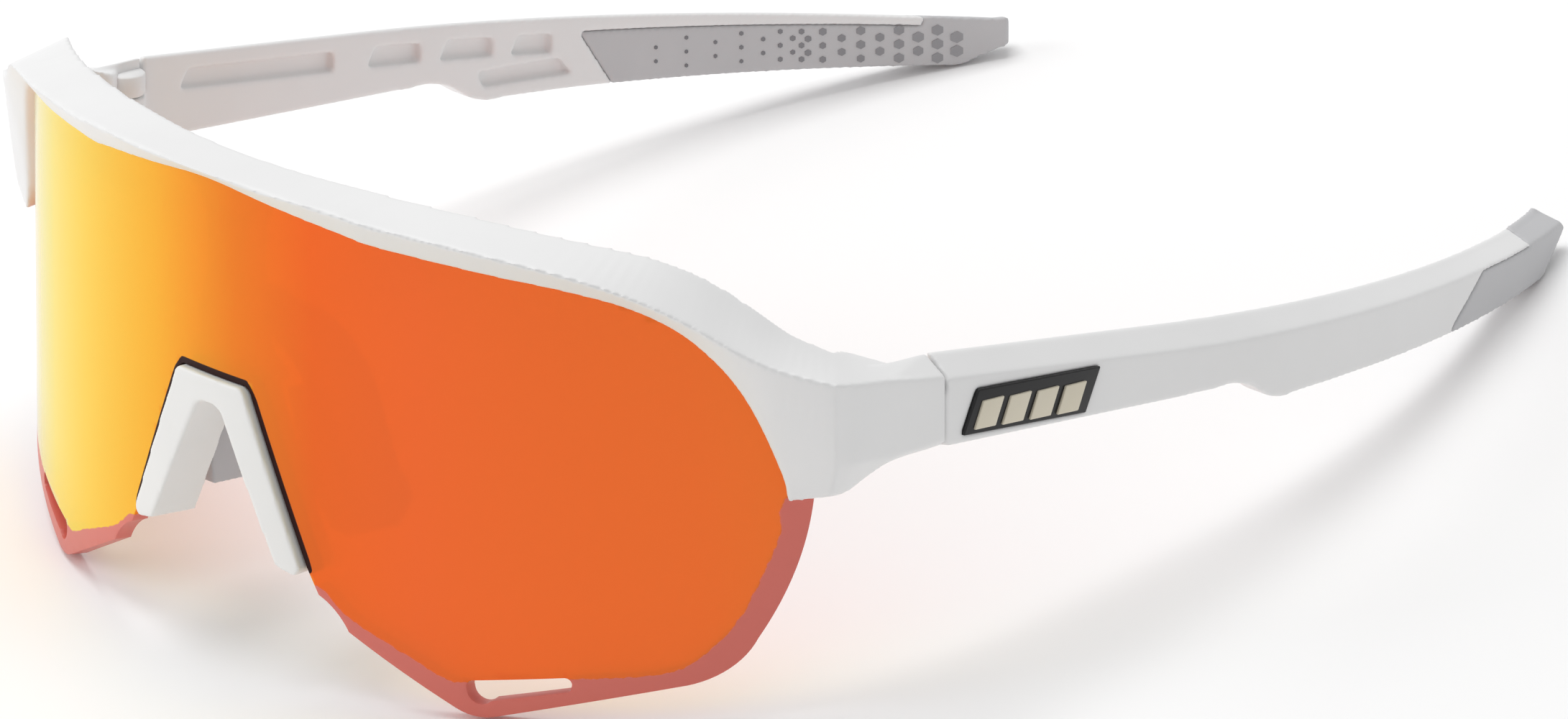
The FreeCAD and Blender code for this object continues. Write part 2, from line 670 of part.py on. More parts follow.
def badge_block(name, outlines, low, high):
    """Side-view outlines pushed between two offsets from the temple's outer face."""
    return block(name, "YZ", outlines, wrap(high) - low, outer_x + (wrap(high) + low) / 2)


def build_badges():
    """A plain slanted badge: a backing seated in the temple, and four leaning bars on it."""
    top = size("badge_depth") - size("badge_recess")
    backing = badge_block("badge_backing", [badge_outline()], -size("badge_recess"), top)
    pair("badge_backing", backing)
    start = hinge_y + 7.0
    bar = size("badge_bar")
    pitch = (size("badge_length") - 4.0) / 4
    floor = 5.3
    high = size("badge_height") - 1.9
    bars = []
    for i in range(4):
        y = start + pitch * i - 1.0
        low = floor - 0.25 * i
        bars.append([(y, low), (y + bar, low - 0.1), (y + bar + 1.3, low + high), (y + 1.3, low + high)])
    pair("badge_bars", badge_block("badge_bars", bars, top, top + size("badge_bar_depth")))


def build_nose():
    """The nose cover in the cut-out, the saddle behind it and the two rubber pads."""
    fit = size("nose_fit")
    leg = size("cover_leg")
    foot_x = size("cutout_half_foot") - fit
    foot_z = -size("cutout_foot")
    top_x = size("cutout_half_top") - fit
    top_z = size("cutout_top") - fit
    wall = ring("cover_wall", size("cover_proud") - size("cover_depth"), size("cover_proud"), 30.0)
    outline = block("cover_outline", "XZ", [mirrored([
        (0, top_z), (top_x, top_z, -1.7), (top_x + 1.0, top_z - 1.1), (foot_x, foot_z, -1.2),
        (foot_x - 1.0, foot_z - 1.1), (foot_x - leg + 0.6, foot_z - 0.6),
        (foot_x - leg - 0.2, foot_z + 0.6), (top_x - leg + 1.2, top_z - 4.2, 1.8),
        (top_x - leg - 0.6, top_z - 3.1)])], 160.0)
    cover = piece("nose_cover", combine("MultiCommon", "nose_cover", [wall, outline]))

    deep = size("saddle_thickness")
    back = lens_face(0.0) + size("lens_thickness") + size("strut_depth")
    arch_side = block("saddle_side", "YZ", [[
        (back, 14.0, 6.0), (back + 3.4, 11.6, -14.0), (back + 9.6, -0.4), (back + 10.4, -9.6),
        (back + 4.4, -11.4), (back + 2.6, -0.6, 16.0), (back, 7.6)]], 60.0)
    arch_front = block("saddle_front", "XZ", [mirrored([
        (0, 14.6), (5.4, 14.6, -2.4), (7.4, 12.6), (12.0, 0.4), (15.4, -9.6), (15.0, -12.4),
        (wrap(14.6) - deep, -12.4), (wrap(14.8) - deep * 2, -1.0), (wrap(8.6) - deep * 1.6, 8.6, 2.6),
        (1.6, 9.6)])], 160.0)
    saddle_blank = combine("MultiCommon", "saddle_blank", [arch_side, arch_front])

    thick = size("pad_thickness")
    ribs = []
    for i in range(7):
        ribs.append((back + 8.6 + i * 0.75, -0.6 - i * 1.7, -1.3))
    pad_side = block("pad_side", "YZ", [[
        (back + 1.4, 1.6), (back + 7.4, 1.4)] + ribs + [
        (back + 12.9, -12.4), (back + 10.6, -14.6), (back + 3.4, -14.4), (back + 1.2, -8.0)]], 60.0)
    pad_front = block("pad_front", "XZ", [[
        (wrap(8.2), 2.6), (wrap(8.2) - thick, 2.6), (wrap(14.2) - thick, -15.2), (wrap(14.2), -15.2)]],
        160.0)
    pad = combine("MultiCommon", "nose_pad_blank", [pad_side, pad_front])
    clear = combine("Cut", "nose_pad", [pad, cover])
    twin = doc.addObject("Part::Mirroring", "pad_twin")
    twin.Source = pad
    twin.Normal = FreeCAD.Vector(1, 0, 0)
    pads = combine("MultiFuse", "both_pads", [pad, twin, cover])
    piece("nose_saddle", combine("Cut", "nose_saddle", [saddle_blank, pads]))
    pair("nose_pad", clear)


def rest_placement(lens, tips):
    """Tip the glasses back until the shield and the temple tips touch one level, and stand them on 0."""
    turn = 0.0
    middle = FreeCAD.Vector(0, 0, 0)
    for step in range(40):
        rotation = FreeCAD.Rotation(FreeCAD.Vector(1, 0, 0), math.degrees(turn))
        pose = FreeCAD.Placement(middle, rotation)
        front = lens.transformGeometry(pose.toMatrix()).optimalBoundingBox(False).ZMin
        rear = tips.transformGeometry(pose.toMatrix()).optimalBoundingBox(False).ZMin
        turn += (front - rear) / 140.0
        if abs(front - rear) < 0.001:
            break
    return rotation, min(front, rear)


lens = build_lens()
build_frame(lens)
build_hinge_hardware()
build_temples()
build_badges()
build_nose()
doc.recompute()

for thing in doc.Objects:
    if "Invalid" in thing.State or "Error" in thing.State:
        raise RuntimeError("%s failed: %s" % (thing.Name, thing.State))
for thing in PIECES:
    if thing.Shape.isNull() or not thing.Shape.isValid() or not thing.Shape.Solids:
        raise RuntimeError("%s has no valid solid" % thing.Label)

by_label = {thing.Label: thing for thing in PIECES}
tilt, floor = rest_placement(by_label["lens_shield"].Shape, by_label["temple_tip_left"].Shape)
spin = FreeCAD.Placement(FreeCAD.Vector(0, 0, 0), tilt)
whole = Part.makeCompound([thing.Shape for thing in PIECES])
box = whole.transformGeometry(spin.toMatrix()).optimalBoundingBox(False)
rest = FreeCAD.Placement(FreeCAD.Vector(0, -(box.YMin + box.YMax) / 2, -floor), tilt)

os.makedirs("parts", exist_ok=True)
for thing in PIECES:
    shape = thing.Shape.copy()
    shape.Placement = rest.multiply(shape.Placement)
    solids = shape.Solids
    out = solids[0] if len(solids) == 1 else Part.makeCompound(solids)
    out.exportStep("parts/%s.step" % thing.Label)
    print("%-20s solids %d  volume %9.2f" % (thing.Label, len(solids), shape.Volume))
pin = rest.multVec(FreeCAD.Vector(float(hinge_x), float(hinge_y), float(size("hinge_level"))))
print("tilt", tilt.Angle * tilt.Axis.x, "shift", rest.Base, "hinge", pin, "box", box)
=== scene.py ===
"""Wraparound sport sunglasses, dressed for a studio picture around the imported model."""
import json
import logging
import math
from dataclasses import dataclass
from enum import Enum
from typing import Callable, Iterable, Optional, Sequence

import bmesh
import bpy
from mathutils import Matrix, Vector


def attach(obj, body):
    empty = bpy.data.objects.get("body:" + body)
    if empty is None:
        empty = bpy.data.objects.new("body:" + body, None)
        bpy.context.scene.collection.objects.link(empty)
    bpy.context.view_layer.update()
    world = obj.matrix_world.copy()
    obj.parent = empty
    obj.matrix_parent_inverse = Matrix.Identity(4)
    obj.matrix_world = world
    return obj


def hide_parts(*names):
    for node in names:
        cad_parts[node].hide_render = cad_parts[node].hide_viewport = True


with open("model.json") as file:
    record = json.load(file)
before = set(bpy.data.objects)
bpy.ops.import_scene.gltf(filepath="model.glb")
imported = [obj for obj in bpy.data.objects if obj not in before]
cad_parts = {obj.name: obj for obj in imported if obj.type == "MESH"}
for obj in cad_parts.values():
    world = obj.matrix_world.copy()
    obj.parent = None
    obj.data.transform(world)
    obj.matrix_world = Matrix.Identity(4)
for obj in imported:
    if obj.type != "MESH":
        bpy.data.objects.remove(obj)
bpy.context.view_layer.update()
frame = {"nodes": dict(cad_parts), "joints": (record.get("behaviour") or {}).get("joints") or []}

LOG = logging.getLogger("sunglasses")
MM = 0.001
Point2 = tuple[float, float]
Corner = tuple[float, ...]


class Side(Enum):
    """Which side of the wearer a piece is on."""

    LEFT = 1
    RIGHT = -1

    @property
    def word(self) -> str:
        """The side as it stands in node names."""
        return self.name.lower()


def to_linear(code: str) -> tuple[float, float, float, float]:
    """Turn an sRGB hex colour into linear RGBA.

    Args:
        code: Six hex digits, with or without a leading hash.

    Returns:
        The linear colour with full alpha.
    """
    digits = code.lstrip("#")
    channels = [int(digits[i:i + 2], 16) / 255 for i in (0, 2, 4)]
    linear = [c / 12.92 if c <= 0.04045 else ((c + 0.055) / 1.055) ** 2.4 for c in channels]
    return (linear[0], linear[1], linear[2], 1.0)


def add_node(material_or_tree: bpy.types.ID, kind: str, settings: Optional[dict] = None,
             values: Optional[dict] = None, links: Optional[dict] = None) -> bpy.types.Node:
    """Add one node with its settings, socket values and incoming links.

    Args:
        material_or_tree: A material, world, light or node tree.
        kind: The node's type.
        settings: Node properties by name.
        values: Input values by socket name or index.
        links: Output sockets by the input name or index that they feed.

    Returns:
        The new node.
    """
    tree = getattr(material_or_tree, "node_tree", None) or material_or_tree
    node = tree.nodes.new(kind)
    for name, value in (settings or {}).items():
        setattr(node, name, value)
    for name, value in (values or {}).items():
        node.inputs[name].default_value = value
    for name, socket in (links or {}).items():
        tree.links.new(socket, node.inputs[name])
    return node


class WearFrame:
    """The level frame that the glasses are drawn in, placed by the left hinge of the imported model.

    X is the wearer's left, Y runs back and Z is up, in millimetres from a datum level with the lens ends.
    """

    HINGE = Vector((70.5, 15.43, 8.5))

    def __init__(self, joints: Sequence[dict]) -> None:
        """Read the hinge's place and axis.

        Args:
            joints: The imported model's joints.
        """
        hinge = next(joint for joint in joints if joint["name"] == "temple_left_fold")
        axis = Vector(hinge["axis"])
        self.turn = Matrix.Rotation(-math.atan2(axis.y, axis.z), 4, "X")
        anchor = Vector(hinge["pos_m"])
        shift = anchor - self.turn @ (self.HINGE * MM)
        self.matrix = Matrix.Translation(shift) @ self.turn @ Matrix.Scale(MM, 4)

    def place(self, thing: bpy.types.Object) -> None:
        """Move a mesh drawn in the level frame to its place in the row frame."""
        thing.data.transform(self.matrix)
        thing.data.update()


WEAR = WearFrame(frame["joints"])


@dataclass(frozen=True)
class Shield:
    """The upright cylinder that the lens and the front follow."""

    radius: float = 94.0
    front: float = 27.5
    half_width: float = 69.15

    @property
    def axis_y(self) -> float:
        """Y of the cylinder's axis."""
        return self.radius - self.front

    def point(self, x: float, z: float, offset: float) -> Vector:
        """The point behind or ahead of the lens face point at X, square to the face."""
        turn = math.asin(x / self.radius)
        reach = self.radius + offset
        return Vector((reach * math.sin(turn), self.axis_y - reach * math.cos(turn), z))


SHIELD = Shield()


def rounded(corners: Sequence[Corner], pitch: float = 0.8) -> list[Point2]:
    """Turn an outline into points, with the marked edges as arcs.

    Args:
        corners: (u, v) or (u, v, radius); a radius bends the edge that leaves the corner, to the left
            where it is positive.
        pitch: Longest step along an arc.

    Returns:
        The closed outline's points.
    """
    points: list[Point2] = []
    for index, corner in enumerate(corners):
        here = Vector(corner[:2])
        there = Vector(corners[(index + 1) % len(corners)][:2])
        points.append((here.x, here.y))
        if len(corner) == 2:
            continue
        radius = abs(corner[2])
        turn = 1 if corner[2] > 0 else -1
        chord = there - here
        left = Vector((-chord.y, chord.x)).normalized()
        centre = (here + there) / 2 + left * turn * math.sqrt(radius ** 2 - (chord.length / 2) ** 2)
        swing = 2 * math.asin(chord.length / 2 / radius) * turn
        steps = max(2, math.ceil(abs(swing) * radius / pitch))
        for step in range(1, steps):
            spoke = Matrix.Rotation(swing * step / steps, 2) @ (here - centre)
            points.append((centre.x + spoke.x, centre.y + spoke.y))
    return points


def mirrored(half: Sequence[Corner]) -> list[Corner]:
    """Complete an outline from its right half, which runs from top centre to bottom centre.

    Args:
        half: The right half, with arc radii where it bends.

    Returns:
        The whole outline.
    """
    first = 1 if half[0][0] == 0.0 else 0
    left = []
    for index in range(len(half) - 1, first - 1, -1):
        arc = tuple(half[index - 1][2:]) if index > 0 else ()
        left.append((-half[index][0], half[index][1]) + arc)
    return list(half) + left


def object_from(bm: bmesh.types.BMesh, name: str, sharp: float = 40.0) -> bpy.types.Object:
    """Turn a bmesh into a linked, smooth-shaded object.

    Args:
        bm: The mesh data, freed here.
        name: The object's name.
        sharp: Edges sharper than this many degrees stay sharp.

    Returns:
        The new object.
    """
    bmesh.ops.recalc_face_normals(bm, faces=bm.faces)
    mesh = bpy.data.meshes.new(name)
    bm.to_mesh(mesh)
    bm.free()
    mesh.shade_smooth()
    mesh.set_sharp_from_angle(angle=math.radians(sharp))
    thing = bpy.data.objects.new(name, mesh)
    bpy.context.scene.collection.objects.link(thing)
    return thing


def settle(thing: bpy.types.Object, sharp: float = 40.0) -> bpy.types.Object:
    """Apply every modifier of an object to its mesh.

    Args:
        thing: The object.
        sharp: Edges sharper than this many degrees stay sharp.

    Returns:
        The same object, with a plain mesh.
    """
    graph = bpy.context.evaluated_depsgraph_get()
    graph.update()
    mesh = bpy.data.meshes.new_from_object(thing.evaluated_get(graph), depsgraph=graph)
    thing.modifiers.clear()
    thing.data = mesh
    mesh.shade_smooth()
    mesh.set_sharp_from_angle(angle=math.radians(sharp))
    return thing


def melt(thing: bpy.types.Object, voxel: float, passes: int) -> bpy.types.Object:
    """Remake a piece as one skin with softly rounded edges, as it leaves a mould.

    Args:
        thing: The closed piece; solids that overlap in it become one.
        voxel: Grid step, in the piece's own units.
        passes: Smoothing passes, which set how round the edges are.

    Returns:
        The same piece.
    """
    remesh = thing.modifiers.new("remesh", "REMESH")
    remesh.mode = "VOXEL"
    remesh.voxel_size = voxel
    relax = thing.modifiers.new("relax", "SMOOTH")
    relax.factor = 0.5
    relax.iterations = passes
    return settle(thing, 60.0)


def soften(thing: bpy.types.Object, width: float, segments: int = 3, angle: float = 28.0,
           edge_slot: int = -1) -> bpy.types.Object:
    """Round the sharp edges of a piece.

    Args:
        thing: The piece, in millimetres.
        width: Width of the rounding.
        segments: Steps across it.
        angle: Edges flatter than this many degrees are left.
        edge_slot: Material slot of the rounding, or -1 to carry on the slots beside it.

    Returns:
        The same piece.
    """
    bevel = thing.modifiers.new("round", "BEVEL")
    bevel.width = width
    bevel.segments = segments
    bevel.limit_method = "ANGLE"
    bevel.angle_limit = math.radians(angle)
    bevel.material = edge_slot
    return settle(thing)


def cast(node: str, name: str, voxel_mm: float, passes: int) -> bpy.types.Object:
    """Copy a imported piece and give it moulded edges.

    Args:
        node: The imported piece's name.
        name: The copy's name.
        voxel_mm: Grid step of the copy's skin.
        passes: Smoothing passes.

    Returns:
        The copy, already in its place.
    """
    twin = copy_of(frame["nodes"][node], name)
    bm = bmesh.new()
    bm.from_mesh(twin.data)
    bmesh.ops.remove_doubles(bm, verts=bm.verts, dist=0.002 * MM)
    bm.to_mesh(twin.data)
    bm.free()
    return melt(twin, voxel_mm * MM, passes)


def carve(thing: bpy.types.Object, tool: bpy.types.Object) -> None:
    """Cut a tool body out of a piece, and drop the tool.

    Args:
        thing: The piece that changes.
        tool: The body that leaves its hollow in it.
    """
    boolean = thing.modifiers.new("carve", "BOOLEAN")
    boolean.operation = "DIFFERENCE"
    boolean.solver = "EXACT"
    boolean.object = tool
    settle(thing)
    bpy.data.objects.remove(tool)


def join(thing: bpy.types.Object, other: bpy.types.Object) -> None:
    """Add another mesh to a piece.

    Args:
        thing: The piece that grows.
        other: The mesh that it takes in; its object is removed.
    """
    bm = bmesh.new()
    bm.from_mesh(thing.data)
    bm.from_mesh(other.data)
    bm.to_mesh(thing.data)
    bm.free()
    bpy.data.objects.remove(other)


def copy_of(thing: bpy.types.Object, name: str) -> bpy.types.Object:
    """Duplicate a piece with its own mesh."""
    twin = bpy.data.objects.new(name, thing.data.copy())
    bpy.context.scene.collection.objects.link(twin)
    return twin


def flip_side(thing: bpy.types.Object) -> bpy.types.Object:
    """Mirror a left-hand piece to the right-hand side, with its faces outward.

    Args:
        thing: The left-hand piece.

    Returns:
        The same piece, now on the right.
    """
    bm = bmesh.new()
    bm.from_mesh(thing.data)
    bmesh.ops.transform(bm, matrix=Matrix.Scale(-1, 4, Vector((1, 0, 0))), verts=bm.verts)
    bmesh.ops.reverse_faces(bm, faces=bm.faces)
    bm.to_mesh(thing.data)
    bm.free()
    thing.data.update()
    return thing


def prism(name: str, outline: Sequence[Point2], low: float, high: float,
          spot: Callable[[float, float, float], Vector]) -> bpy.types.Object:
    """Push a flat outline between two levels.

    Args:
        name: The object's name.
        outline: Closed outline points (u, v).
        low: First level.
        high: Second level.
        spot: Gives the place of (u, v, level).

    Returns:
        The closed solid.
    """
    bm = bmesh.new()
    rings = [[bm.verts.new(spot(u, v, level)) for u, v in outline] for level in (low, high)]
    count = len(outline)
    for index in range(count):
        after = (index + 1) % count
        bm.faces.new((rings[0][index], rings[0][after], rings[1][after], rings[1][index]))
    for ring in rings:
        bm.faces.new(ring)
    return object_from(bm, name)


def side_view(y: float, z: float, x: float) -> Vector:
    """Place a side-view outline's point at an X level."""
    return Vector((x, y, z))


def skin(name: str, sections: Sequence[Sequence[Vector]], sharp: float = 40.0) -> bpy.types.Object:
    """Skin a closed solid over a row of sections with equal point counts.

    Args:
        name: The object's name.
        sections: The rings of points, in order.
        sharp: Edges sharper than this many degrees stay sharp.

    Returns:
        The closed solid.
    """
    bm = bmesh.new()
    rings = [[bm.verts.new(point) for point in section] for section in sections]
    for ring, following in zip(rings, rings[1:]):
        for index in range(len(ring)):
            after = (index + 1) % len(ring)
            bm.faces.new((ring[index], ring[after], following[after], following[index]))
    bm.faces.new(rings[0])
    bm.faces.new(rings[-1])
    return object_from(bm, name, sharp)


def smooth_path(knots: Sequence[Vector], pitch: float) -> list[Vector]:
    """Pass a curve through knots.

    Args:
        knots: The points.
        pitch: Step between the curve's points.

    Returns:
        Points on a uniform Catmull-Rom curve, ends included.
    """
    result = []
    for index in range(len(knots) - 1):
        before = knots[index - 1] if index else knots[0] * 2 - knots[1]
        after = knots[index + 2] if index + 2 < len(knots) else knots[-1] * 2 - knots[-2]
        a, b = knots[index], knots[index + 1]
        steps = max(1, round((b - a).length / pitch))
        for step in range(steps):
            t = step / steps
            result.append(0.5 * ((2 * a) + (b - before) * t + (2 * before - 5 * a + 4 * b - after) * t * t
                                 + (3 * a - before - 3 * b + after) * t ** 3))
    return result + [knots[-1]]


def lathe(name: str, profile: Sequence[Point2], centre: Vector, segments: int = 48) -> bpy.types.Object:
    """Turn a closed (radius, height) profile about an upright axis.

    Args:
        name: The object's name.
        profile: The half section.
        centre: A point of the axis at height 0.
        segments: Steps round the turn.

    Returns:
        The turned solid.
    """
    bm = bmesh.new()
    rings = []
    for step in range(segments):
        angle = 2 * math.pi * step / segments
        spoke = Vector((math.cos(angle), math.sin(angle), 0))
        rings.append([bm.verts.new(centre + spoke * r + Vector((0, 0, h))) for r, h in profile])
    for step in range(segments):
        ring, following = rings[step], rings[(step + 1) % segments]
        for index in range(len(profile)):
            after = (index + 1) % len(profile)
            bm.faces.new((ring[index], following[index], following[after], ring[after]))
    bmesh.ops.remove_doubles(bm, verts=bm.verts, dist=1e-5)
    bmesh.ops.dissolve_degenerate(bm, edges=bm.edges, dist=1e-6)
    return object_from(bm, name)


def curved_plate(name: str, outline: Sequence[Point2], holes: Iterable[Sequence[Point2]], front: float,
                 back: float, pitch: float = 1.5,
                 fields: Optional[dict[str, Callable[[float, float], float]]] = None) -> bpy.types.Object:
    """Make a plate that follows the shield's cylinder.

    Args:
        name: The object's name.
        outline: Front-view outline (x, z).
        holes: Front-view outlines of its holes.
        front: Front face's offset outside the lens face.
        back: Back face's offset.
        pitch: Spacing of the mesh lines that let it bend.
        fields: Functions of (x, z) to keep as point attributes, by name.

    Returns:
        The closed plate; its front has material index 0, its edge 1 and its back 2.
    """
    bm = bmesh.new()
    edges = []
    for loop in [outline, *holes]:
        verts = [bm.verts.new((x, 0, z)) for x, z in loop]
        edges += [bm.edges.new((verts[i - 1], verts[i])) for i in range(len(verts))]
    bmesh.ops.triangle_fill(bm, edges=edges, use_beauty=True, use_dissolve=False, normal=(0, -1, 0))
    span = max(abs(x) for x, z in outline)
    floor, top = min(z for x, z in outline), max(z for x, z in outline)
    count = math.ceil(span / pitch)
    cuts = [(Vector((i * span / count, 0, 0)), Vector((1, 0, 0))) for i in range(-count + 1, count)]
    if fields:
        rows = math.ceil((top - floor) / pitch)
        cuts += [(Vector((0, 0, floor + (top - floor) * i / rows)), Vector((0, 0, 1)))
                 for i in range(1, rows)]
    for spot, normal in cuts:
        bmesh.ops.bisect_plane(bm, geom=bm.verts[:] + bm.edges[:] + bm.faces[:], dist=1e-5,
                               plane_co=spot, plane_no=normal)
    bmesh.ops.dissolve_limit(bm, angle_limit=0.01, verts=[], edges=[
        e for e in bm.edges if len(e.link_faces) == 2
        and abs(e.verts[0].co.x - e.verts[1].co.x) > 1e-3 and abs(e.verts[0].co.z - e.verts[1].co.z) > 1e-3])
    for name in fields or {}:
        layer = bm.verts.layers.float.new(name)
        for vert in bm.verts:
            vert[layer] = fields[name](vert.co.x, vert.co.z)
    faces = bm.faces[:]
    for face in faces:
        face.material_index = 0
    made = bmesh.ops.extrude_face_region(bm, geom=faces, use_keep_orig=True)
    new_verts = [item for item in made["geom"] if isinstance(item, bmesh.types.BMVert)]
    new_faces = {item for item in made["geom"] if isinstance(item, bmesh.types.BMFace)}
    moved = set(new_verts)
    for vert in bm.verts:
        offset = back if vert in moved else front
        vert.co = SHIELD.point(vert.co.x, vert.co.z, offset)
    for face in new_faces:
        face.material_index = 2
    kept = set(faces) | new_faces
    for face in bm.faces:
        if face not in kept:
            face.material_index = 1
    return object_from(bm, name)


def signed_distance(path: Sequence[Point2], x: float, z: float) -> float:
    """Distance from a point to a path, positive on its right.

    Args:
        path: The path's points.
        x: The point's first coordinate.
        z: Its second coordinate.

    Returns:
        The signed distance.
    """
    best, sign = math.inf, 1.0
    for (ax, az), (bx, bz) in zip(path, path[1:]):
        dx, dz = bx - ax, bz - az
        share = min(1.0, max(0.0, ((x - ax) * dx + (z - az) * dz) / (dx * dx + dz * dz)))
        ox, oz = x - ax - dx * share, z - az - dz * share
        gap = math.hypot(ox, oz)
        if gap < best:
            best = gap
            sign = 1.0 if dx * oz - dz * ox < 0 else -1.0
    return best * sign


def blank(name: str) -> bpy.types.Material:
    """Start a material with an empty node tree."""
    material = bpy.data.materials.new(name)
    material.use_nodes = True
    material.node_tree.nodes.clear()
    return material


def relief(material: bpy.types.Material, values: dict, depth_mm: float) -> tuple[bpy.types.Node, ...]:
    """Add a fine grain that follows the piece, and its bump.

    Args:
        material: The material that gets it.
        values: The grain's noise settings.
        depth_mm: Its height in millimetres.

    Returns:
        The coordinates, the noise and the bump.
    """
    place = add_node(material, "ShaderNodeTexCoord")
    grain = add_node(material, "ShaderNodeTexNoise", values=values, links={"Vector": place.outputs["Object"]})
    bump = add_node(material, "ShaderNodeBump", values={"Distance": depth_mm * MM},
                    links={"Height": grain.outputs["Fac"]})
    return place, grain, bump


def principled(material: bpy.types.Material, values: dict, links: Optional[dict] = None) -> bpy.types.Node:
    """Give a material a principled surface."""
    material.use_nodes = True
    material.node_tree.nodes.clear()
    shader = add_node(material, "ShaderNodeBsdfPrincipled", values=values, links=links)
    add_node(material, "ShaderNodeOutputMaterial", links={"Surface": shader.outputs[0]})
    return shader


@dataclass(frozen=True)
class MouldedFinish:
    """A moulded plastic or rubber: a base colour, faint mottling and a fine spark-eroded grain.

    grain_mm is the size of the mould's texture and grain_depth its height in millimetres.
    """

    name: str
    colour: str
    shade: str
    roughness: float
    grain_mm: float
    grain_depth: float

    def build(self) -> bpy.types.Material:
        """Make the material."""
        material = blank(self.name)
        place = add_node(material, "ShaderNodeTexCoord")
        mottle = add_node(material, "ShaderNodeTexNoise", values={"Scale": 90.0, "Detail": 3.0},
                          links={"Vector": place.outputs["Object"]})
        colour = add_node(material, "ShaderNodeMix", {"data_type": "RGBA"},
                          {6: to_linear(self.colour), 7: to_linear(self.shade)},
                          {0: mottle.outputs["Fac"]})
        grain = add_node(material, "ShaderNodeTexNoise",
                         values={"Scale": 1 / (self.grain_mm * MM), "Detail": 2.0, "Roughness": 0.6},
                         links={"Vector": place.outputs["Object"]})
        bump = add_node(material, "ShaderNodeBump",
                        values={"Strength": 1.0, "Distance": self.grain_depth * MM},
                        links={"Height": grain.outputs["Fac"]})
        gloss = add_node(material, "ShaderNodeMapRange",
                         values={"To Min": self.roughness - 0.04, "To Max": self.roughness + 0.04},
                         links={"Value": grain.outputs["Fac"]})
        shader = add_node(material, "ShaderNodeBsdfPrincipled",
                          links={"Base Color": colour.outputs[2], "Normal": bump.outputs[0],
                                 "Roughness": gloss.outputs[0]})
        add_node(material, "ShaderNodeOutputMaterial", links={"Surface": shader.outputs[0]})
        return material


@dataclass(frozen=True)
class MirrorCoat:
    """Polycarbonate with a dichroic mirror coat, and a bare rim below the coat's edge.

    The coat reflects red-orange square on and turns amber and yellow at a glancing angle, and a little
    light still passes through it.
    """

    name: str = "mirror_coated_polycarbonate"
    shades: tuple[tuple[float, str], ...] = (
        (0.0, "#FF9A3C"), (0.07, "#FF863A"), (0.2, "#FF7A36"), (0.29, "#FF7424"), (0.38, "#FF8A16"),
        (0.51, "#FFBC14"), (0.68, "#FFDC1C"), (0.8, "#FFEC38"), (0.9, "#FAF474"), (1.0, "#F0FCD0"))
    bare: str = "#E2776A"
    # Colour of a band painted on the front face within 0.8 mm of the nose cut-out: it stands in for the
    # lens's dark cut edge and is painted shade for the gap beside the nose cover.
    cutout_edge_and_shade: str = "#2A0A08"
    through: float = 0.34
    through_edge: float = 0.14

    def build(self) -> bpy.types.Material:
        """Make the material."""
        material = blank(self.name)
        weight = add_node(material, "ShaderNodeLayerWeight", values={"Blend": 0.5})
        ramp = add_node(material, "ShaderNodeValToRGB", links={0: weight.outputs["Facing"]})
        stops = ramp.color_ramp.elements
        stops.remove(stops[1])
        stops[0].color = to_linear(self.shades[0][1])
        for position, shade in self.shades[1:]:
            stops.new(position).color = to_linear(shade)
        coat = add_node(material, "ShaderNodeBsdfPrincipled",
                        values={"Metallic": 0.3, "Roughness": 0.1, "Specular IOR Level": 0.25},
                        links={"Base Color": ramp.outputs[0]})
        clear = add_node(material, "ShaderNodeBsdfTransparent", values={"Color": to_linear("#FF9A48")})
        share = add_node(material, "ShaderNodeMapRange",
                         values={"From Min": 0.1, "From Max": 0.5, "To Min": self.through,
                                 "To Max": self.through_edge},
                         links={"Value": weight.outputs["Facing"]})
        mirror = add_node(material, "ShaderNodeMixShader",
                          links={0: share.outputs[0], 1: coat.outputs[0], 2: clear.outputs[0]})
        bare = add_node(material, "ShaderNodeBsdfPrincipled",
                        values={"Base Color": to_linear(self.bare), "Roughness": 0.32,
                                "Specular IOR Level": 0.6})
        glass = add_node(material, "ShaderNodeBsdfTransparent", values={"Color": to_linear("#D98A7A")})
        rim = add_node(material, "ShaderNodeMixShader", values={0: 0.18},
                       links={1: bare.outputs[0], 2: glass.outputs[0]})
        zone = add_node(material, "ShaderNodeAttribute", {"attribute_name": "coated"})
        place = add_node(material, "ShaderNodeTexCoord")
        ragged = add_node(material, "ShaderNodeTexNoise", values={"Scale": 1100.0, "Detail": 3.0},
                          links={"Vector": place.outputs["Object"]})
        wander = add_node(material, "ShaderNodeMath", {"operation": "MULTIPLY_ADD"},
                          {1: 0.5, 2: -0.25}, {0: ragged.outputs["Fac"]})
        distance = add_node(material, "ShaderNodeMath", {"operation": "ADD"},
                            links={0: zone.outputs["Fac"], 1: wander.outputs[0]})
        inside = add_node(material, "ShaderNodeMapRange",
                          values={"From Min": -0.04, "From Max": 0.04},
                          links={"Value": distance.outputs[0]})
        whole = add_node(material, "ShaderNodeMixShader",
                         links={0: inside.outputs[0], 1: rim.outputs[0], 2: mirror.outputs[0]})
        # Painted band beside the nose cut-out: the lens's dark cut edge and painted shade in the gap next to
        # the nose cover.
        dark = add_node(material, "ShaderNodeBsdfPrincipled",
                        values={"Base Color": to_linear(self.cutout_edge_and_shade), "Roughness": 0.45,
                                "Specular IOR Level": 0.15})
        gap = add_node(material, "ShaderNodeAttribute", {"attribute_name": "from_cutout"})
        beyond = add_node(material, "ShaderNodeMapRange", values={"From Min": 0.72, "From Max": 0.8},
                          links={"Value": gap.outputs["Fac"]})
        edged = add_node(material, "ShaderNodeMixShader",
                         links={0: beyond.outputs[0], 1: dark.outputs[0], 2: whole.outputs[0]})
        add_node(material, "ShaderNodeOutputMaterial", links={"Surface": edged.outputs[0]})
        return material


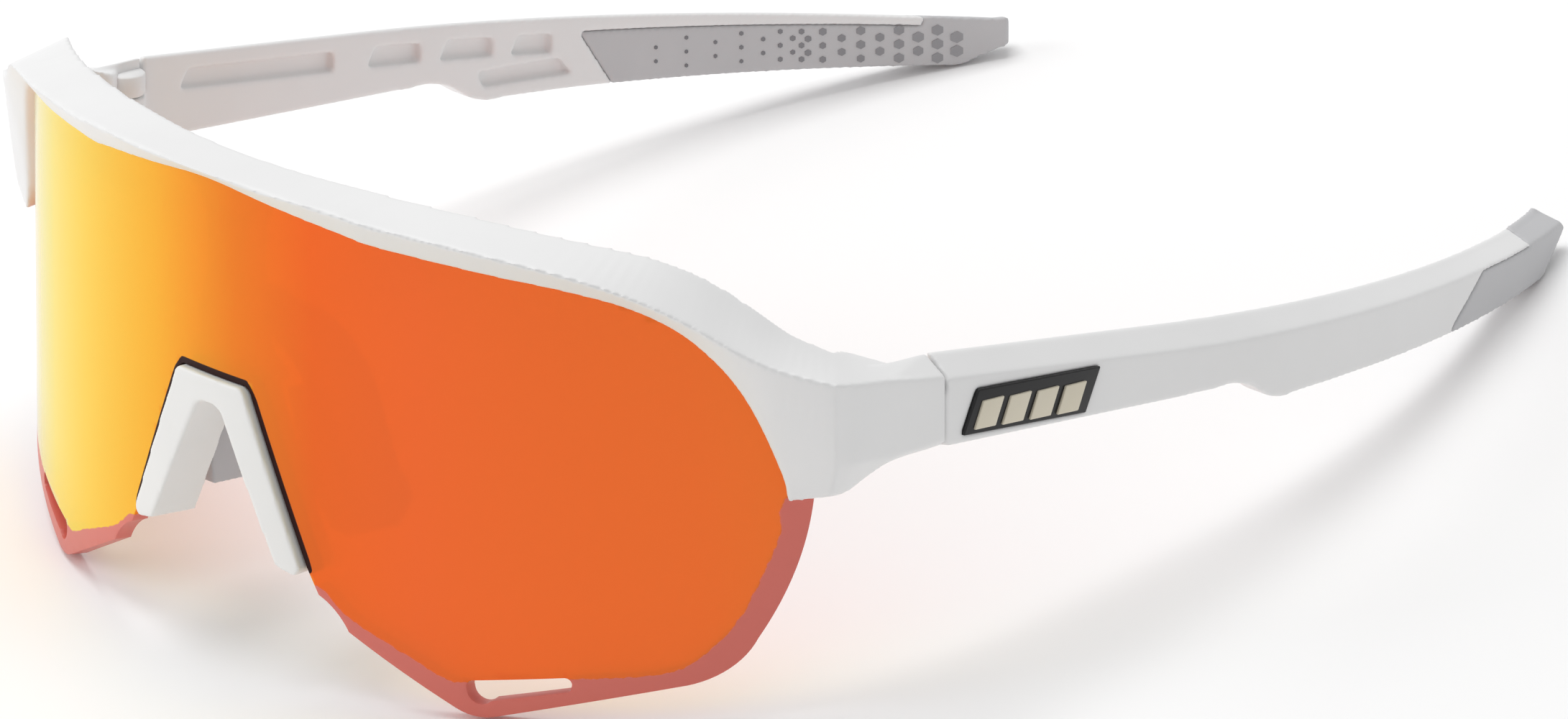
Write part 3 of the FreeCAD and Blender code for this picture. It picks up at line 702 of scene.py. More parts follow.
@dataclass(frozen=True)
class InnerFace:
    """The wearer's side of the lens: polished, smoke-tinted polycarbonate that shows what is behind it."""

    name: str = "tinted_polycarbonate"
    tint: str = "#EBC7B8"
    gloss: float = 0.14

    def build(self) -> bpy.types.Material:
        """Make the material."""
        material = blank(self.name)
        place = add_node(material, "ShaderNodeTexCoord")
        haze = add_node(material, "ShaderNodeTexNoise", values={"Scale": 60.0, "Detail": 2.0},
                        links={"Vector": place.outputs["Object"]})
        blur = add_node(material, "ShaderNodeMapRange", values={"To Min": 0.03, "To Max": 0.07},
                        links={"Value": haze.outputs["Fac"]})
        clear = add_node(material, "ShaderNodeBsdfTransparent", values={"Color": to_linear(self.tint)})
        shine = add_node(material, "ShaderNodeBsdfPrincipled",
                         values={"Base Color": to_linear("#6E3A30"), "Specular IOR Level": 0.8},
                         links={"Roughness": blur.outputs[0]})
        mixed = add_node(material, "ShaderNodeMixShader", values={0: self.gloss},
                         links={1: clear.outputs[0], 2: shine.outputs[0]})
        add_node(material, "ShaderNodeOutputMaterial", links={"Surface": mixed.outputs[0]})
        return material


@dataclass(frozen=True)
class GripPaintedShade:
    """Painted shade for the grip's hexagons: dark where it stands in for the shade inside the pinpricks and
    paler where it stands in for the shade on the floor of the open cells.
    """

    name: str = "grip_painted_shade"
    # Both colours are painted shade: the hexagons are plates that stand proud, and their darkness makes them
    # read as sunk.
    dark: str = "#77777B"
    pale: str = "#A9A9AC"

    def build(self) -> bpy.types.Material:
        """Make the material."""
        material = blank(self.name)
        growth = add_node(material, "ShaderNodeAttribute", {"attribute_name": "growth"})
        colour = add_node(material, "ShaderNodeMix", {"data_type": "RGBA"},
                          {6: to_linear(self.dark), 7: to_linear(self.pale)}, {0: growth.outputs["Fac"]})
        bump = relief(material, {"Scale": 3300.0}, 0.008)[-1]
        shader = add_node(material, "ShaderNodeBsdfPrincipled", values={"Roughness": 0.65},
                          links={"Base Color": colour.outputs[2], "Normal": bump.outputs[0]})
        add_node(material, "ShaderNodeOutputMaterial", links={"Surface": shader.outputs[0]})
        return material


@dataclass(frozen=True)
class MetalFinish:
    """A small turned metal piece with fine circular tool marks left as grain."""

    name: str
    colour: str
    roughness: float

    def build(self) -> bpy.types.Material:
        """Make the material."""
        material = blank(self.name)
        bump = relief(material, {"Scale": 6000.0}, 0.004)[-1]
        shader = add_node(material, "ShaderNodeBsdfPrincipled",
                          values={"Base Color": to_linear(self.colour), "Metallic": 1.0,
                                  "Roughness": self.roughness},
                          links={"Normal": bump.outputs[0]})
        add_node(material, "ShaderNodeOutputMaterial", links={"Surface": shader.outputs[0]})
        return material


class Finishes:
    """Every finish on the glasses."""

    def __init__(self) -> None:
        """Build the materials."""
        # Nylon out of a spark-eroded mould: an even, soft white with no sharp highlight. The grain is 0.2 mm.
        self.frame = MouldedFinish("matte_white_nylon", "#ECECEC", "#E6E6E6", 0.46, 0.22, 0.006).build()
        # The same nylon from a finer mould: a slightly tighter sheen on the nose cover.
        self.cover = MouldedFinish("satin_white_nylon", "#EDEDEB", "#E6E6E4", 0.38, 0.22, 0.004).build()
        # Overmoulded rubber scatters light widely, so tips and pads look dry and matt. The grain is 0.3 mm.
        self.rubber = MouldedFinish("light_grey_rubber", "#C6C6C8", "#BDBDBF", 0.62, 0.3, 0.008).build()
        self.pad = MouldedFinish("nose_pad_rubber", "#BDBDC0", "#B2B2B5", 0.6, 0.3, 0.008).build()
        # Painted shade for the grip's hexagons: dark and pale plates that stand in for the shade inside sunk
        # cells.
        self.dimple_painted_shade = GripPaintedShade().build()
        # Badge parts come from a polished mould and shine more than the arm.
        self.black = MouldedFinish("gloss_black_abs", "#0E0E10", "#141416", 0.25, 0.4, 0.002).build()
        self.cream = MouldedFinish("cream_abs_inlay", "#DDD6C4", "#D3CBB6", 0.35, 0.3, 0.003).build()
        # Acetal looks waxy and slightly warm.
        self.bush = MouldedFinish("acetal_bush", "#D8D8D2", "#CFCFC8", 0.35, 0.3, 0.002).build()
        # The cut and polished edge of the lens reads as a thin dark line.
        self.edge = MouldedFinish("polished_lens_edge", "#2A0D0E", "#3A1614", 0.2, 0.5, 0.001).build()
        self.mirror = MirrorCoat().build()
        self.inner = InnerFace().build()
        # Turning marks spread the highlight; they are finer than the picture shows.
        self.steel = MetalFinish("turned_stainless_steel", "#B8B8BA", 0.28).build()
        self.brass = MetalFinish("turned_brass", "#C9A35A", 0.3).build()


def paint(thing: bpy.types.Object, *materials: bpy.types.Material) -> bpy.types.Object:
    """Set a piece's material slots."""
    thing.data.materials.clear()
    for material in materials:
        thing.data.materials.append(material)
    return thing


def deliver(thing: bpy.types.Object, body: str, slot: str, *nodes: str) -> bpy.types.Object:
    """Make a finished piece ride on its body, hide the CAD nodes that it replaces, and log it.

    Args:
        thing: The piece, in its place.
        body: The body that it rides on.
        slot: The record's material slot; not used.
        nodes: CAD nodes that it replaces.

    Returns:
        The same piece.
    """
    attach(thing, body)
    if nodes:
        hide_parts(*nodes)
    LOG.info("%s: %d faces on %s", thing.name, len(thing.data.polygons), body)
    return thing


@dataclass
class Lens:
    """The one-piece shield lens."""

    thickness: float = 2.0
    tuck: float = 1.2
    drop: float = 29.2
    low_span: float = 37.4
    vent_height: float = 2.4
    brow_edge: tuple[Point2, ...] = ((0.0, 26.3), (0.156, 25.4), (0.31, 24.2), (0.36, 23.75),
                                     (0.56, 22.9), (0.70, 22.0))

    def outline(self) -> list[Point2]:
        """The front-view outline."""
        half = SHIELD.half_width
        top = [(half * share, low + self.tuck) for share, low in self.brow_edge]
        return rounded(mirrored(top + [
            (half * 0.86, 18.8, -24.0), (half, 4.0), (half, -0.6, -47.0), (half - 4.3, -16.8, -10.0),
            (half - 11.1, -23.1), (self.low_span + 2.4, -self.drop + 0.25, -6.3),
            (self.low_span - 2.4, -self.drop + 0.4), (21.2, -22.5, 8.6), (16.9, -19.0), (15.2, -16.2),
            (6.7, 1.7, 1.7), (5.6, 3.0)]))

    def vent(self, side: Side) -> list[Point2]:
        """The vent slot of one side, with rounded corners.

        Args:
            side: Which side.

        Returns:
            The slot's outline.
        """
        x, floor, high = self.low_span, -self.drop + 1.9, self.vent_height
        corners = [(x - 1.2, floor + 0.9, -0.9), (x - 0.4, floor + 0.1 + high * 0.85),
                   (x + 9.6, floor + 1.55 + high, -0.7), (x + 10.35, floor + 1.2 + high * 0.8),
                   (x + 10.2, floor + 1.1 + high * 0.6, -0.8), (x + 9.6, floor + 1.0 + high * 0.5),
                   (x + 1.6, floor, -1.6)]
        return [(px * side.value, pz) for px, pz in rounded(corners, 0.25)]

    def coat_edge(self) -> list[Point2]:
        """The lower edge of the mirror coat, from the outer end to the nose."""
        knots = [(72.0, 6.0), (66.9, -0.6), (66.6, -4.5), (64.9, -10.3), (63.2, -14.9), (61.0, -18.3),
                 (58.6, -20.8), (55.5, -22.0), (48.0, -23.4), (36.0, -25.6), (33.2, -25.4),
                 (29.7, -24.0), (21.0, -20.7), (17.6, -18.3), (14.2, -17.4), (11.0, -12.0), (3.0, -1.0),
                 (-2.0, 1.5)]
        return [(p.x, p.y) for p in smooth_path([Vector((x, z, 0)) for x, z in knots], 1.0)]

    def build(self, finishes: Finishes) -> None:
        """Make the lens and dress it.

        Args:
            finishes: The finishes.
        """
        edge = self.coat_edge()
        cutout = [(0.0, 3.0), (5.6, 3.0), (6.7, 1.7), (15.2, -16.2)]

        def coated(x: float, z: float) -> float:
            """Distance in from the coat's edge, positive inside the coated zone."""
            return max(-4.0, min(4.0, signed_distance(edge, abs(x), z)))

        def from_cutout(x: float, z: float) -> float:
            """Distance from the edge of the nose cut-out."""
            return min(4.0, abs(signed_distance(cutout, abs(x), z)))

        lens = curved_plate("lens", self.outline(), [self.vent(side) for side in Side], 0.0,
                            -self.thickness, 1.2, {"coated": coated, "from_cutout": from_cutout})
        soften(lens, 0.28, 2, 50.0, 1)
        WEAR.place(lens)
        paint(lens, finishes.mirror, finishes.edge, finishes.inner)
        deliver(lens, "frame", "mirror_lens", "lens_shield")


@dataclass
class FrontFrame:
    """Brow, endpieces, strut and hinge lugs, all one white moulding."""

    proud: float = 3.0
    behind: float = 4.0
    top: float = 28.6
    outer_x: float = 74.2
    corner_x: float = 75.1
    corner_y: float = 1.24
    hinge: tuple[float, float] = (70.5, 15.43)
    knuckle_radius: float = 2.4
    bore_radius: float = 0.76
    lug_height: float = 2.6

    def stations(self) -> list[list[Vector]]:
        """Sections of six corners from the middle to the left seam."""
        rows = [(0.0, 26.3, 27.9, 0.0), (0.156, 25.4, 27.8, 0.0), (0.31, 24.2, 27.4, 0.0),
                (0.36, 23.75, 27.0, 0.1), (0.56, 22.9, 26.0, 0.9), (0.70, 22.0, 24.6, 1.9),
                (0.79, 20.5, 22.7, 2.8), (0.86, 17.6, 20.3, 4.6), (0.92, 12.0, 17.6, 7.6),
                (0.966, 3.0, 16.0, 10.6)]
        sections = []
        radius = SHIELD.radius
        for share, low, crease, drop in rows:
            turn = math.asin(share * SHIELD.half_width / radius)
            spread = max(0.0, turn - math.radians(35.5))
            front = (radius + self.proud) / math.cos(spread)
            lip = radius + 0.6 + (self.proud - 0.6) * min(1.0, spread / 0.2) * 0.5
            profile = [(radius - self.behind, low + 0.4), (lip, low),
                       ((3 * lip + front) / 4, (3 * low + crease) / 4),
                       ((lip + front) / 2, (low + crease) / 2), (front, crease),
                       (radius - self.behind, self.top - drop)]
            sections.append([Vector((r * math.sin(turn), SHIELD.axis_y - r * math.cos(turn), z))
                             for r, z in profile])
        back = self.outer_x - 8.2
        x, y, butt = self.corner_x, self.corner_y, self.hinge[1] - 5.6
        sections.append([Vector(p) for p in (
            (back + 1.2, y + 6.0, 1.6), (68.55, y - 1.8, -0.2), (x - 1.7, y + 0.7, 1.2),
            (x - 0.8, y + 0.7, 5.0),
            (x, y, 14.8), (back + 1.2, y + 5.6, 15.7))])
        sections.append([Vector(p) for p in (
            (back + 0.8, y + 7.2, 2.1), (x - 3.6, y + 2.0, 1.2), (x - 1.6, y + 2.9, 1.3),
            (x - 0.2, y + 3.4, 5.0), (x - 0.2, y + 3.4, 14.2), (back + 0.8, y + 6.8, 15.4))])
        sections.append([Vector(p) for p in (
            (back, butt, 3.5), (x - 2.0, butt, 3.4), (x - 1.2, butt, 3.7), (x - 0.9, butt, 4.4),
            (x - 0.9, butt, 13.4), (back, butt, 14.8))])
        seam = self.hinge[1] + 2.4
        sections.append([Vector((px, seam - 0.9 * (self.outer_x - px), pz)) for px, pz in (
            (back + 1.0, 4.0), (self.outer_x - 0.6, 4.0), (self.outer_x - 0.3, 4.2), (self.outer_x, 4.6),
            (self.outer_x, 12.1), (back + 1.0, 14.2))])
        return sections

    def shell(self) -> bpy.types.Object:
        """The brow and both endpieces in one skin."""
        stations = self.stations()
        corner = 10
        rails = []
        for index in range(len(stations[0])):
            knots = [section[index] for section in stations]
            flipped = [Vector((-p.x, p.y, p.z)) for p in knots[corner:0:-1]]
            brow = self.even(flipped + knots[:corner + 1])
            tail = self.even(knots[corner:])
            mirror_tail = [Vector((-p.x, p.y, p.z)) for p in reversed(tail)]
            rails.append(mirror_tail[:-1] + brow + tail[1:])
        sections = [list(points) for points in zip(*rails)]
        return skin("front_frame", sections)

    @staticmethod
    def even(knots: Sequence[Vector], steps: int = 5) -> list[Vector]:
        """Pass a curve through knots with the same number of points between each pair.

        Args:
            knots: The points.
            steps: Points for each gap.

        Returns:
            Points on the curve, ends included.
        """
        result = []
        for index in range(len(knots) - 1):
            before = knots[index - 1] if index else knots[0] * 2 - knots[1]
            after = knots[index + 2] if index + 2 < len(knots) else knots[-1] * 2 - knots[-2]
            a, b = knots[index], knots[index + 1]
            slope_a = (b - before) * ((b - a).length / max(1e-6, (b - before).length))
            slope_b = (after - a) * ((b - a).length / max(1e-6, (after - a).length))
            for step in range(steps):
                t = step / steps
                h00 = 2 * t ** 3 - 3 * t ** 2 + 1
                h10 = t ** 3 - 2 * t ** 2 + t
                h01 = -2 * t ** 3 + 3 * t ** 2
                h11 = t ** 3 - t ** 2
                result.append(a * h00 + slope_a * h10 + b * h01 + slope_b * h11)
        return result + [knots[-1]]

    def hinge_cover(self, side: Side) -> bpy.types.Object:
        """The tab that closes over the outer half of one knuckle.

        Args:
            side: Which hinge.

        Returns:
            The closed tab.
        """
        x, y = self.hinge
        sections = []
        for place, top, ridge in ((y - 6.1, 13.1, 14.1), (y + 2.4, 12.1, 14.1)):
            sections.append([Vector((px * side.value, place, pz)) for px, pz in (
                (x, 10.15), (self.outer_x, 10.15), (self.outer_x, top), (x, ridge))])
        return skin("hinge_cover", sections[::side.value])

    def strut(self) -> bpy.types.Object:
        """The strut that carries the nose piece behind the lens."""
        half = 3.9
        outline = rounded(mirrored([
            (0, 27.2), (half + 5.6, 26.4), (half + 4.6, 24.4, 5.5), (half, 20.0), (half, 8.6, 6.0),
            (half + 4.0, 4.4), (half + 4.0, 3.2), (half - 1.2, 3.2, 3.6), (0.6, 4.4)]))
        return curved_plate("strut", outline, [], -2.05, -5.0)

    def lugs(self, centre: Vector) -> bpy.types.Object:
        """The two round lugs of one hinge: the lower sunk for the screw, the upper closed on top.

        Args:
            centre: The hinge axis.

        Returns:
            Both lugs in one mesh.
        """
        rim, bore, edge = self.knuckle_radius, self.bore_radius, 0.2
        floor, top, sink, seat = 4.25, 4.25 + self.lug_height, 0.85, 1.5
        lower = lathe("lug", [(seat, floor), (rim - edge, floor), (rim, floor + edge), (rim, top - edge),
                              (rim - edge, top), (bore, top), (bore, floor + sink), (seat, floor + sink)],
                      centre)
        floor, room = 10.15, 1.31
        top = floor + self.lug_height
        upper = lathe("lug", [(room, floor), (rim - edge, floor), (rim, floor + edge), (rim, top - edge),
                              (rim - edge, top), (0, top), (0, top - 0.59), (room, top - 0.59)], centre)
        join(lower, upper)
        return lower

    def build(self, finishes: Finishes) -> None:
        """Make the front and dress it.

        Args:
            finishes: The finishes.
        """
        shell = self.shell()
        x, y = self.hinge
        centres = [Vector((x * side.value, y, 0)) for side in Side]
        for centre in centres:
            for floor, top, radius in ((6.85, 10.15, 2.7), (4.24, 6.86, 2.35), (10.14, 15.0, 2.35)):
                carve(shell, lathe("room", [(0, floor), (radius, floor), (radius, top), (0, top)], centre))
        join(shell, self.strut())
        for side in Side:
            join(shell, self.hinge_cover(side))
        melt(shell, 0.3, 6)
        for centre in centres:
            join(shell, self.lugs(centre))
        shell.data.shade_smooth()
        shell.data.set_sharp_from_angle(angle=math.radians(50))
        WEAR.place(shell)
        paint(shell, finishes.frame)
        deliver(shell, "frame", "frame_white", "frame_front")


@dataclass
class GripTexture:
    """Hexagons on the inside of a rubber tip: pinpricks in front that grow into a honeycomb behind. They are
    thin proud plates, and their painted shade makes them read as sunk.
    """

    start: float = 89.4
    length: float = 36.6
    columns: int = 17
    rows: int = 4
    pitch: float = 1.7
    crowd: float = 4.2
    first_width: float = 0.45
    last_width: float = 1.75
    first_z: float = 1.4
    last_z: float = -0.45
    height: float = 0.16

    def tree(self, material: bpy.types.Material) -> bpy.types.NodeTree:
        """Build the node tree that lays the hexagons.

        Args:
            material: Their finish.

        Returns:
            The tree; its inputs are the texture's sizes and the bend of the face that it lies on.
        """
        tree = bpy.data.node_groups.new("grip_hexagons", "GeometryNodeTree")
        tree.interface.new_socket("Geometry", in_out="INPUT", socket_type="NodeSocketGeometry")
        tree.interface.new_socket("Geometry", in_out="OUTPUT", socket_type="NodeSocketGeometry")
        for name, value in (("Columns", self.columns), ("Rows", self.rows)):
            socket = tree.interface.new_socket(name, in_out="INPUT", socket_type="NodeSocketInt")
            socket.default_value = value
        for name in ("Length", "Pitch", "Crowd", "First Width", "Last Width", "First Z", "Last Z", "Height",
                     "Face Radius", "Centre X", "Centre Y", "First Turn"):
            tree.interface.new_socket(name, in_out="INPUT", socket_type="NodeSocketFloat")
        given = add_node(tree, "NodeGroupInput").outputs
        index = add_node(tree, "GeometryNodeInputIndex").outputs[0]
        value = {name: given[name] for name in given.keys() if name not in ("", "Geometry")}
        value["Index"] = index

        def reckon(steps: Sequence[tuple]) -> None:
            """Add arithmetic steps of (result, operation, terms...); a text term names an earlier result."""
            for result, operation, *terms in steps:
                fixed = {i: term for i, term in enumerate(terms) if not isinstance(term, str)}
                fed = {i: value[term] for i, term in enumerate(terms) if isinstance(term, str)}
                value[result] = add_node(tree, "ShaderNodeMath", {"operation": operation}, fixed,
                                         fed).outputs[0]

        reckon((("total", "MULTIPLY", "Columns", "Rows"),
                ("place", "DIVIDE", "Index", "Rows"),
                ("column", "FLOOR", "place"),
                ("row", "MODULO", "Index", "Rows"),
                ("last", "SUBTRACT", "Columns", 1.0),
                ("share", "DIVIDE", "column", "last"),
                ("odd", "MODULO", "column", 2.0)))
        line = add_node(tree, "GeometryNodeMeshLine", {"mode": "OFFSET"}, links={"Count": value["total"]})
        swell = add_node(tree, "ShaderNodeMapRange", values={"From Max": 0.52, "To Max": math.pi},
                         links={"Value": value["share"]})
        value["swell"] = swell.outputs[0]
        middle = add_node(tree, "ShaderNodeMapRange", links={
            "Value": value["share"], "To Min": given["First Z"], "To Max": given["Last Z"]})
        value["middle"] = middle.outputs[0]
        width = add_node(tree, "ShaderNodeMapRange", {"interpolation_type": "SMOOTHSTEP"}, links={
            "Value": value["share"], "To Min": given["First Width"], "To Max": given["Last Width"]})
        value["width"] = width.outputs[0]
        reckon((("wave", "SINE", "swell"),
                ("push", "MULTIPLY", "wave", "Crowd"),
                ("along", "MULTIPLY_ADD", "share", "Length", "push"),
                ("swing", "DIVIDE", "along", "Face Radius"),
                ("turn", "ADD", "swing", "First Turn"),
                ("cosine", "COSINE", "turn"),
                ("sine", "SINE", "turn"),
                ("x", "MULTIPLY_ADD", "cosine", "Face Radius", "Centre X"),
                ("y", "MULTIPLY_ADD", "sine", "Face Radius", "Centre Y"),
                ("stagger", "MULTIPLY_ADD", "odd", 0.5, -1.5),
                ("level", "ADD", "row", "stagger"),
                ("z", "MULTIPLY_ADD", "level", "Pitch", "middle"),
                ("reach", "ABSOLUTE", "level"),
                ("outside", "GREATER_THAN", "reach", 1.1),
                ("stretch", "MULTIPLY_ADD", "share", 0.25, 1.0),
                ("broad", "MULTIPLY", "width", "stretch")))
        spot = add_node(tree, "ShaderNodeCombineXYZ", links={0: value["x"], 1: value["y"], 2: value["z"]})
        points = add_node(tree, "GeometryNodeSetPosition",
                          links={"Geometry": line.outputs[0], "Position": spot.outputs[0]})
        kept = add_node(tree, "GeometryNodeDeleteGeometry", {"domain": "POINT"},
                        links={"Geometry": points.outputs[0], "Selection": value["outside"]})
        size = add_node(tree, "ShaderNodeCombineXYZ",
                        links={0: given["Height"], 1: value["broad"], 2: value["width"]})
        heading = add_node(tree, "ShaderNodeCombineXYZ", links={2: value["turn"]})
        hexagon = add_node(tree, "GeometryNodeMeshCylinder",
                           values={"Vertices": 6, "Radius": 0.55, "Depth": 1.0})
        upright = add_node(tree, "GeometryNodeTransform",
                           values={"Rotation": (0.0, math.pi / 2, 0.0)}, links={0: hexagon.outputs[0]})
        studs = add_node(tree, "GeometryNodeInstanceOnPoints", links={
            "Points": kept.outputs[0], "Instance": upright.outputs[0], "Rotation": heading.outputs[0],
            "Scale": size.outputs[0]})
        mark = add_node(tree, "GeometryNodeStoreNamedAttribute", {"data_type": "FLOAT", "domain": "INSTANCE"},
                        {"Name": "growth"}, {"Geometry": studs.outputs[0], "Value": value["share"]})
        whole = add_node(tree, "GeometryNodeRealizeInstances", links={0: mark.outputs[0]})
        dressed = add_node(tree, "GeometryNodeSetMaterial", values={"Material": material},
                           links={0: whole.outputs[0]})
        add_node(tree, "NodeGroupOutput", links={0: dressed.outputs[0]})
        return tree

    def build(self, temple: "Temple", material: bpy.types.Material) -> bpy.types.Object:
        """Lay the hexagons on the left temple's inner face.

        Args:
            temple: The temple, whose bend they follow.
            material: Their finish.

        Returns:
            One plain mesh in the level frame.
        """
        tree = self.tree(material)
        thing = bpy.data.objects.new("grip_hexagons", bpy.data.meshes.new("grip_hexagons"))
        bpy.context.scene.collection.objects.link(thing)
        modifier = thing.modifiers.new("texture", "NODES")
        modifier.node_group = tree
        radius = temple.bend - temple.wall
        sizes = {"Columns": self.columns, "Rows": self.rows, "Length": self.length, "Pitch": self.pitch,
                 "Crowd": self.crowd, "First Width": self.first_width, "Last Width": self.last_width,
                 "First Z": self.first_z, "Last Z": self.last_z, "Height": self.height,
                 "Face Radius": radius, "Centre X": temple.outer_x - temple.bend,
                 "Centre Y": temple.straight_end,
                 "First Turn": math.asin((self.start - temple.straight_end) / radius)}
        for item in tree.interface.items_tree:
            if item.in_out == "INPUT" and item.name in sizes:
                modifier[item.identifier] = sizes[item.name]
        return settle(thing, 30.0)


@dataclass
class Temple:
    """One temple: white arm, rubber tip with its grip texture, and badge."""

    outer_x: float = 74.2
    wall: float = 4.0
    straight_end: float = 50.03
    bend: float = 144.0
    badge_start: float = 20.03
    badge_floor: float = 4.8
    badge_proud: float = 0.4
    bar_count: int = 4

    def badge_plate(self) -> bpy.types.Object:
        """The slanted backing plate."""
        start, floor = self.badge_start, self.badge_floor
        outline = [(start, floor), (start + 17.8, floor - 1.0), (start + 20.0, floor + 4.0),
                   (start + 2.2, floor + 5.0)]
        plate = prism("badge_plate", outline, self.outer_x - 0.4, self.outer_x + self.badge_proud, side_view)
        return soften(plate, 0.18)

    def badge_bars(self) -> bpy.types.Object:
        """The row of leaning bars on the plate."""
        bars = None
        for index in range(self.bar_count):
            y = self.badge_start + 1.4 + 4.0 * index
            low = self.badge_floor + 0.5 - 0.25 * index
            outline = [(y, low), (y + 3.0, low - 0.1), (y + 4.3, low + 3.1), (y + 1.3, low + 3.1)]
            face = self.outer_x + self.badge_proud
            bar = soften(prism("badge_bars", outline, face - 0.2, face + 0.34, side_view), 0.12)
            if bars is None:
                bars = bar
            else:
                join(bars, bar)
        return bars

    def build(self, side: Side, finishes: "Finishes") -> None:
        """Make one temple and dress it.

        Args:
            side: Which temple.
            finishes: The finishes.
        """
        word = side.word
        body = f"temple_{word}"
        arm = paint(cast(body, f"temple_arm_{word}", 0.24, 12), finishes.frame)
        deliver(arm, body, "temple_white", f"temple_{word}")
        tip = paint(cast(f"temple_tip_{word}", f"temple_grip_{word}", 0.26, 6), finishes.rubber)
        deliver(tip, body, "tip_rubber", f"temple_tip_{word}")
        small = ((GripTexture().build(self, finishes.dimple_painted_shade), "grip_hexagons", "tip_rubber", ()),
                 (paint(self.badge_plate(), finishes.black), "badge_plate", "badge_black",
                  (f"badge_backing_{word}",)),
                 (paint(self.badge_bars(), finishes.cream), "badge_bars", "badge_cream",
                  (f"badge_bars_{word}",)))
        for thing, name, slot, nodes in small:
            thing.name = f"{name}_piece_{word}"
            if side is Side.RIGHT:
                flip_side(thing)
            WEAR.place(thing)
            deliver(thing, body, slot, *nodes)


@dataclass
class NosePiece:
    """The white cover in the lens cut-out, the saddle and the rubber pads."""

    leg: float = 4.1

    def cover(self) -> bpy.types.Object:
        """The inverted V over the cut-out."""
        foot_x, foot_z, top_x, top_z = 14.7, -16.2, 5.3, 2.9
        outline = rounded(mirrored([
            (0, top_z), (top_x, top_z, -1.7), (top_x + 1.0, top_z - 1.1), (foot_x, foot_z, -1.2),
            (foot_x - 1.0, foot_z - 1.1), (foot_x - self.leg + 0.6, foot_z - 0.6),
            (foot_x - self.leg - 0.2, foot_z + 0.6), (top_x - self.leg + 1.2, top_z - 4.2, 1.8),
            (top_x - self.leg - 0.6, top_z - 3.1)]), 0.4)
        return melt(curved_plate("nose_cover_shell", outline, [], 0.9, -5.1), 0.22, 9)

    def build(self, finishes: Finishes) -> None:
        """Make the nose piece and dress it.

        Args:
            finishes: The finishes.
        """
        cover = paint(self.cover(), finishes.cover)
        WEAR.place(cover)
        deliver(cover, "frame", "frame_white", "nose_cover")
        saddle = paint(cast("nose_saddle", "nose_bridge", 0.26, 6), finishes.pad)
        deliver(saddle, "frame", "soft_rubber", "nose_saddle")
        for side in Side:
            pad = paint(cast(f"nose_pad_{side.word}", f"nose_grip_{side.word}", 0.2, 4), finishes.pad)
            deliver(pad, "frame", "soft_rubber", f"nose_pad_{side.word}")


class Hardware:
    """The turned pieces on the hinge axes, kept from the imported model."""

    def build(self, finishes: Finishes) -> None:
        """Dress the screws, inserts and bushes.

        Args:
            finishes: The finishes.
        """
        for side in Side:
            self.dress(f"hinge_screw_{side.word}", finishes.steel)
            self.dress(f"hinge_insert_{side.word}", finishes.brass)
            self.dress(f"hinge_bush_{side.word}", finishes.bush)

    @staticmethod
    def dress(node: str, material: bpy.types.Material) -> None:
        """Put a finish in every slot of a kept piece."""
        for slot in frame["nodes"][node].material_slots:
            slot.material = material
            LOG.info("%s: %s", node, material.name)


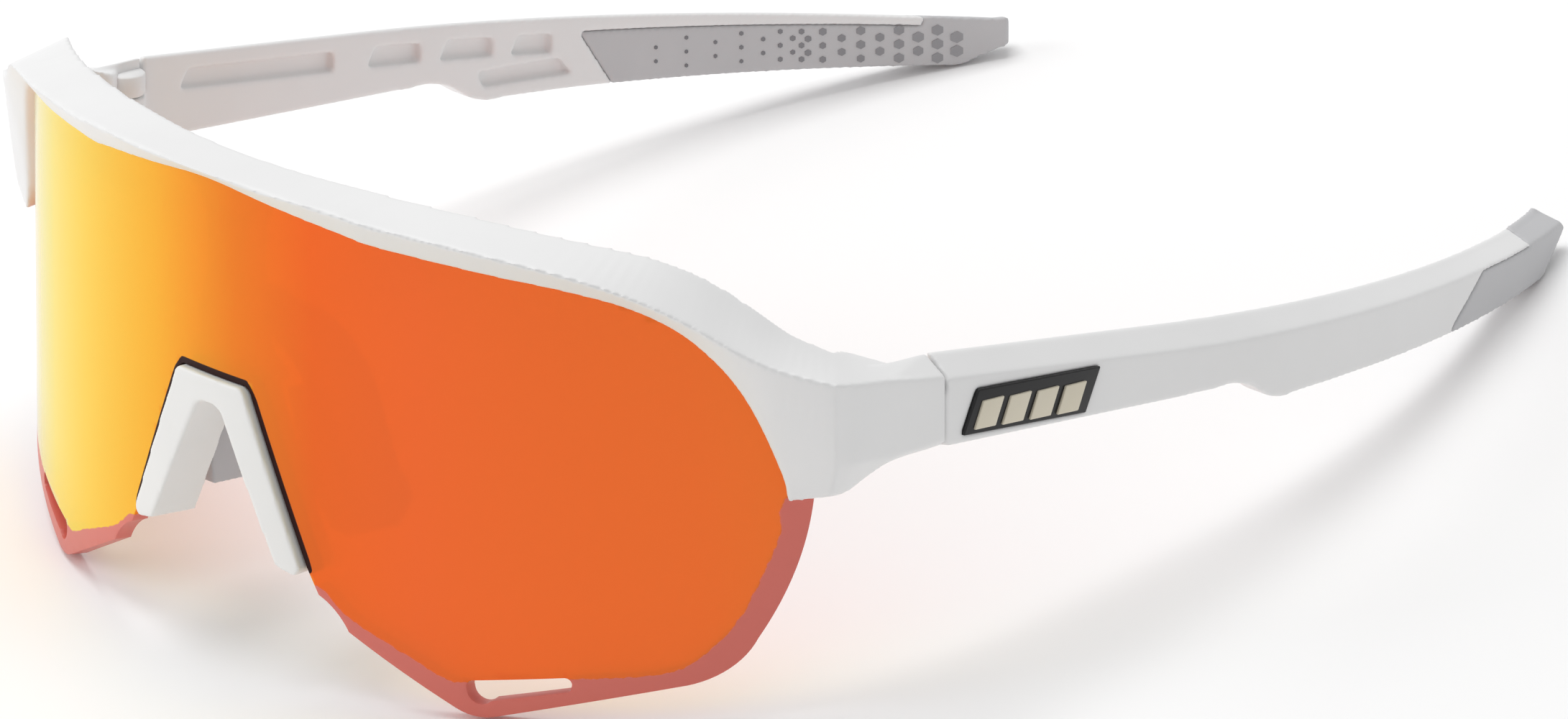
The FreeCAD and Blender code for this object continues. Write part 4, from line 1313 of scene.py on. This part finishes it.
@dataclass
class Studio:
    """Pale floor, soft light and the camera."""

    azimuth: float = 50.51
    elevation: float = 18.2
    focal_mm: float = 641.6
    sensor_mm: float = 36.0
    camera_mm: tuple[float, float, float] = (2340.6, -1873.2, 984.6)

    def camera(self) -> None:
        """Stand the camera in the level frame, upright there."""
        turn, lift = math.radians(self.azimuth), math.radians(self.elevation)
        back = Vector((math.sin(turn) * math.cos(lift), -math.cos(turn) * math.cos(lift), math.sin(lift)))
        right = Vector((math.cos(turn), math.sin(turn), 0))
        up = back.cross(right)
        pose = Matrix((right, up, back)).transposed().to_4x4()
        data = bpy.data.cameras.new("camera")
        data.lens = self.focal_mm
        data.sensor_width = self.sensor_mm
        data.clip_end = 50.0
        camera = bpy.data.objects.new("camera", data)
        bpy.context.scene.collection.objects.link(camera)
        place = WEAR.matrix @ Vector(self.camera_mm)
        camera.matrix_world = Matrix.Translation(place) @ WEAR.turn @ pose
        bpy.context.scene.camera = camera

    def area(self, name: str, spot: tuple[float, float, float], size: float, power: float) -> None:
        """Hang a soft square light that looks at the glasses.

        Args:
            name: The light's name.
            spot: Its place in metres.
            size: Its side in metres.
            power: Its power in watts.
        """
        data = bpy.data.lights.new(name, "AREA")
        data.shape = "SQUARE"
        data.size = size
        data.energy = power
        lamp = bpy.data.objects.new(name, data)
        bpy.context.scene.collection.objects.link(lamp)
        lamp.location = spot
        aim = Vector((0, 0, 0.03)) - Vector(spot)
        lamp.rotation_euler = aim.to_track_quat("-Z", "Y").to_euler()

    def floor(self) -> None:
        """Lay a pale floor."""
        bpy.ops.mesh.primitive_plane_add(size=60.0, location=(0, 0, -0.0002))
        plane = bpy.context.object
        plane.name = "floor"
        material = bpy.data.materials.new("pale_seamless_paper")
        principled(material, {"Base Color": to_linear("#FAFAFA"), "Roughness": 0.9,
                              "Specular IOR Level": 0.1})
        plane.data.materials.append(material)

    def build(self) -> None:
        """Set up the studio."""
        self.camera()
        self.floor()
        world = bpy.data.worlds.new("studio")
        bpy.context.scene.world = world
        world.use_nodes = True
        world.node_tree.nodes.clear()
        sky = add_node(world, "ShaderNodeBackground",
                       values={"Color": (1.0, 1.0, 1.0, 1.0), "Strength": 0.55})
        add_node(world, "ShaderNodeOutputWorld", links={"Surface": sky.outputs[0]})
        self.area("key", (-0.35, 0.15, 1.3), 1.0, 9.6)
        self.area("fill", (-1.1, -1.0, 0.6), 1.0, 7.5)
        scene = bpy.context.scene
        scene.view_settings.view_transform = "Standard"
        scene.view_settings.look = "None"


def main() -> None:
    """Build and dress every sub-assembly in order."""
    logging.basicConfig(level=logging.INFO, format="%(name)s %(message)s")
    finishes = Finishes()
    Studio().build()
    Lens().build(finishes)
    FrontFrame().build(finishes)
    for side in Side:
        Temple().build(side, finishes)
    NosePiece().build(finishes)
    Hardware().build(finishes)


if __name__ == "__main__":
    main()
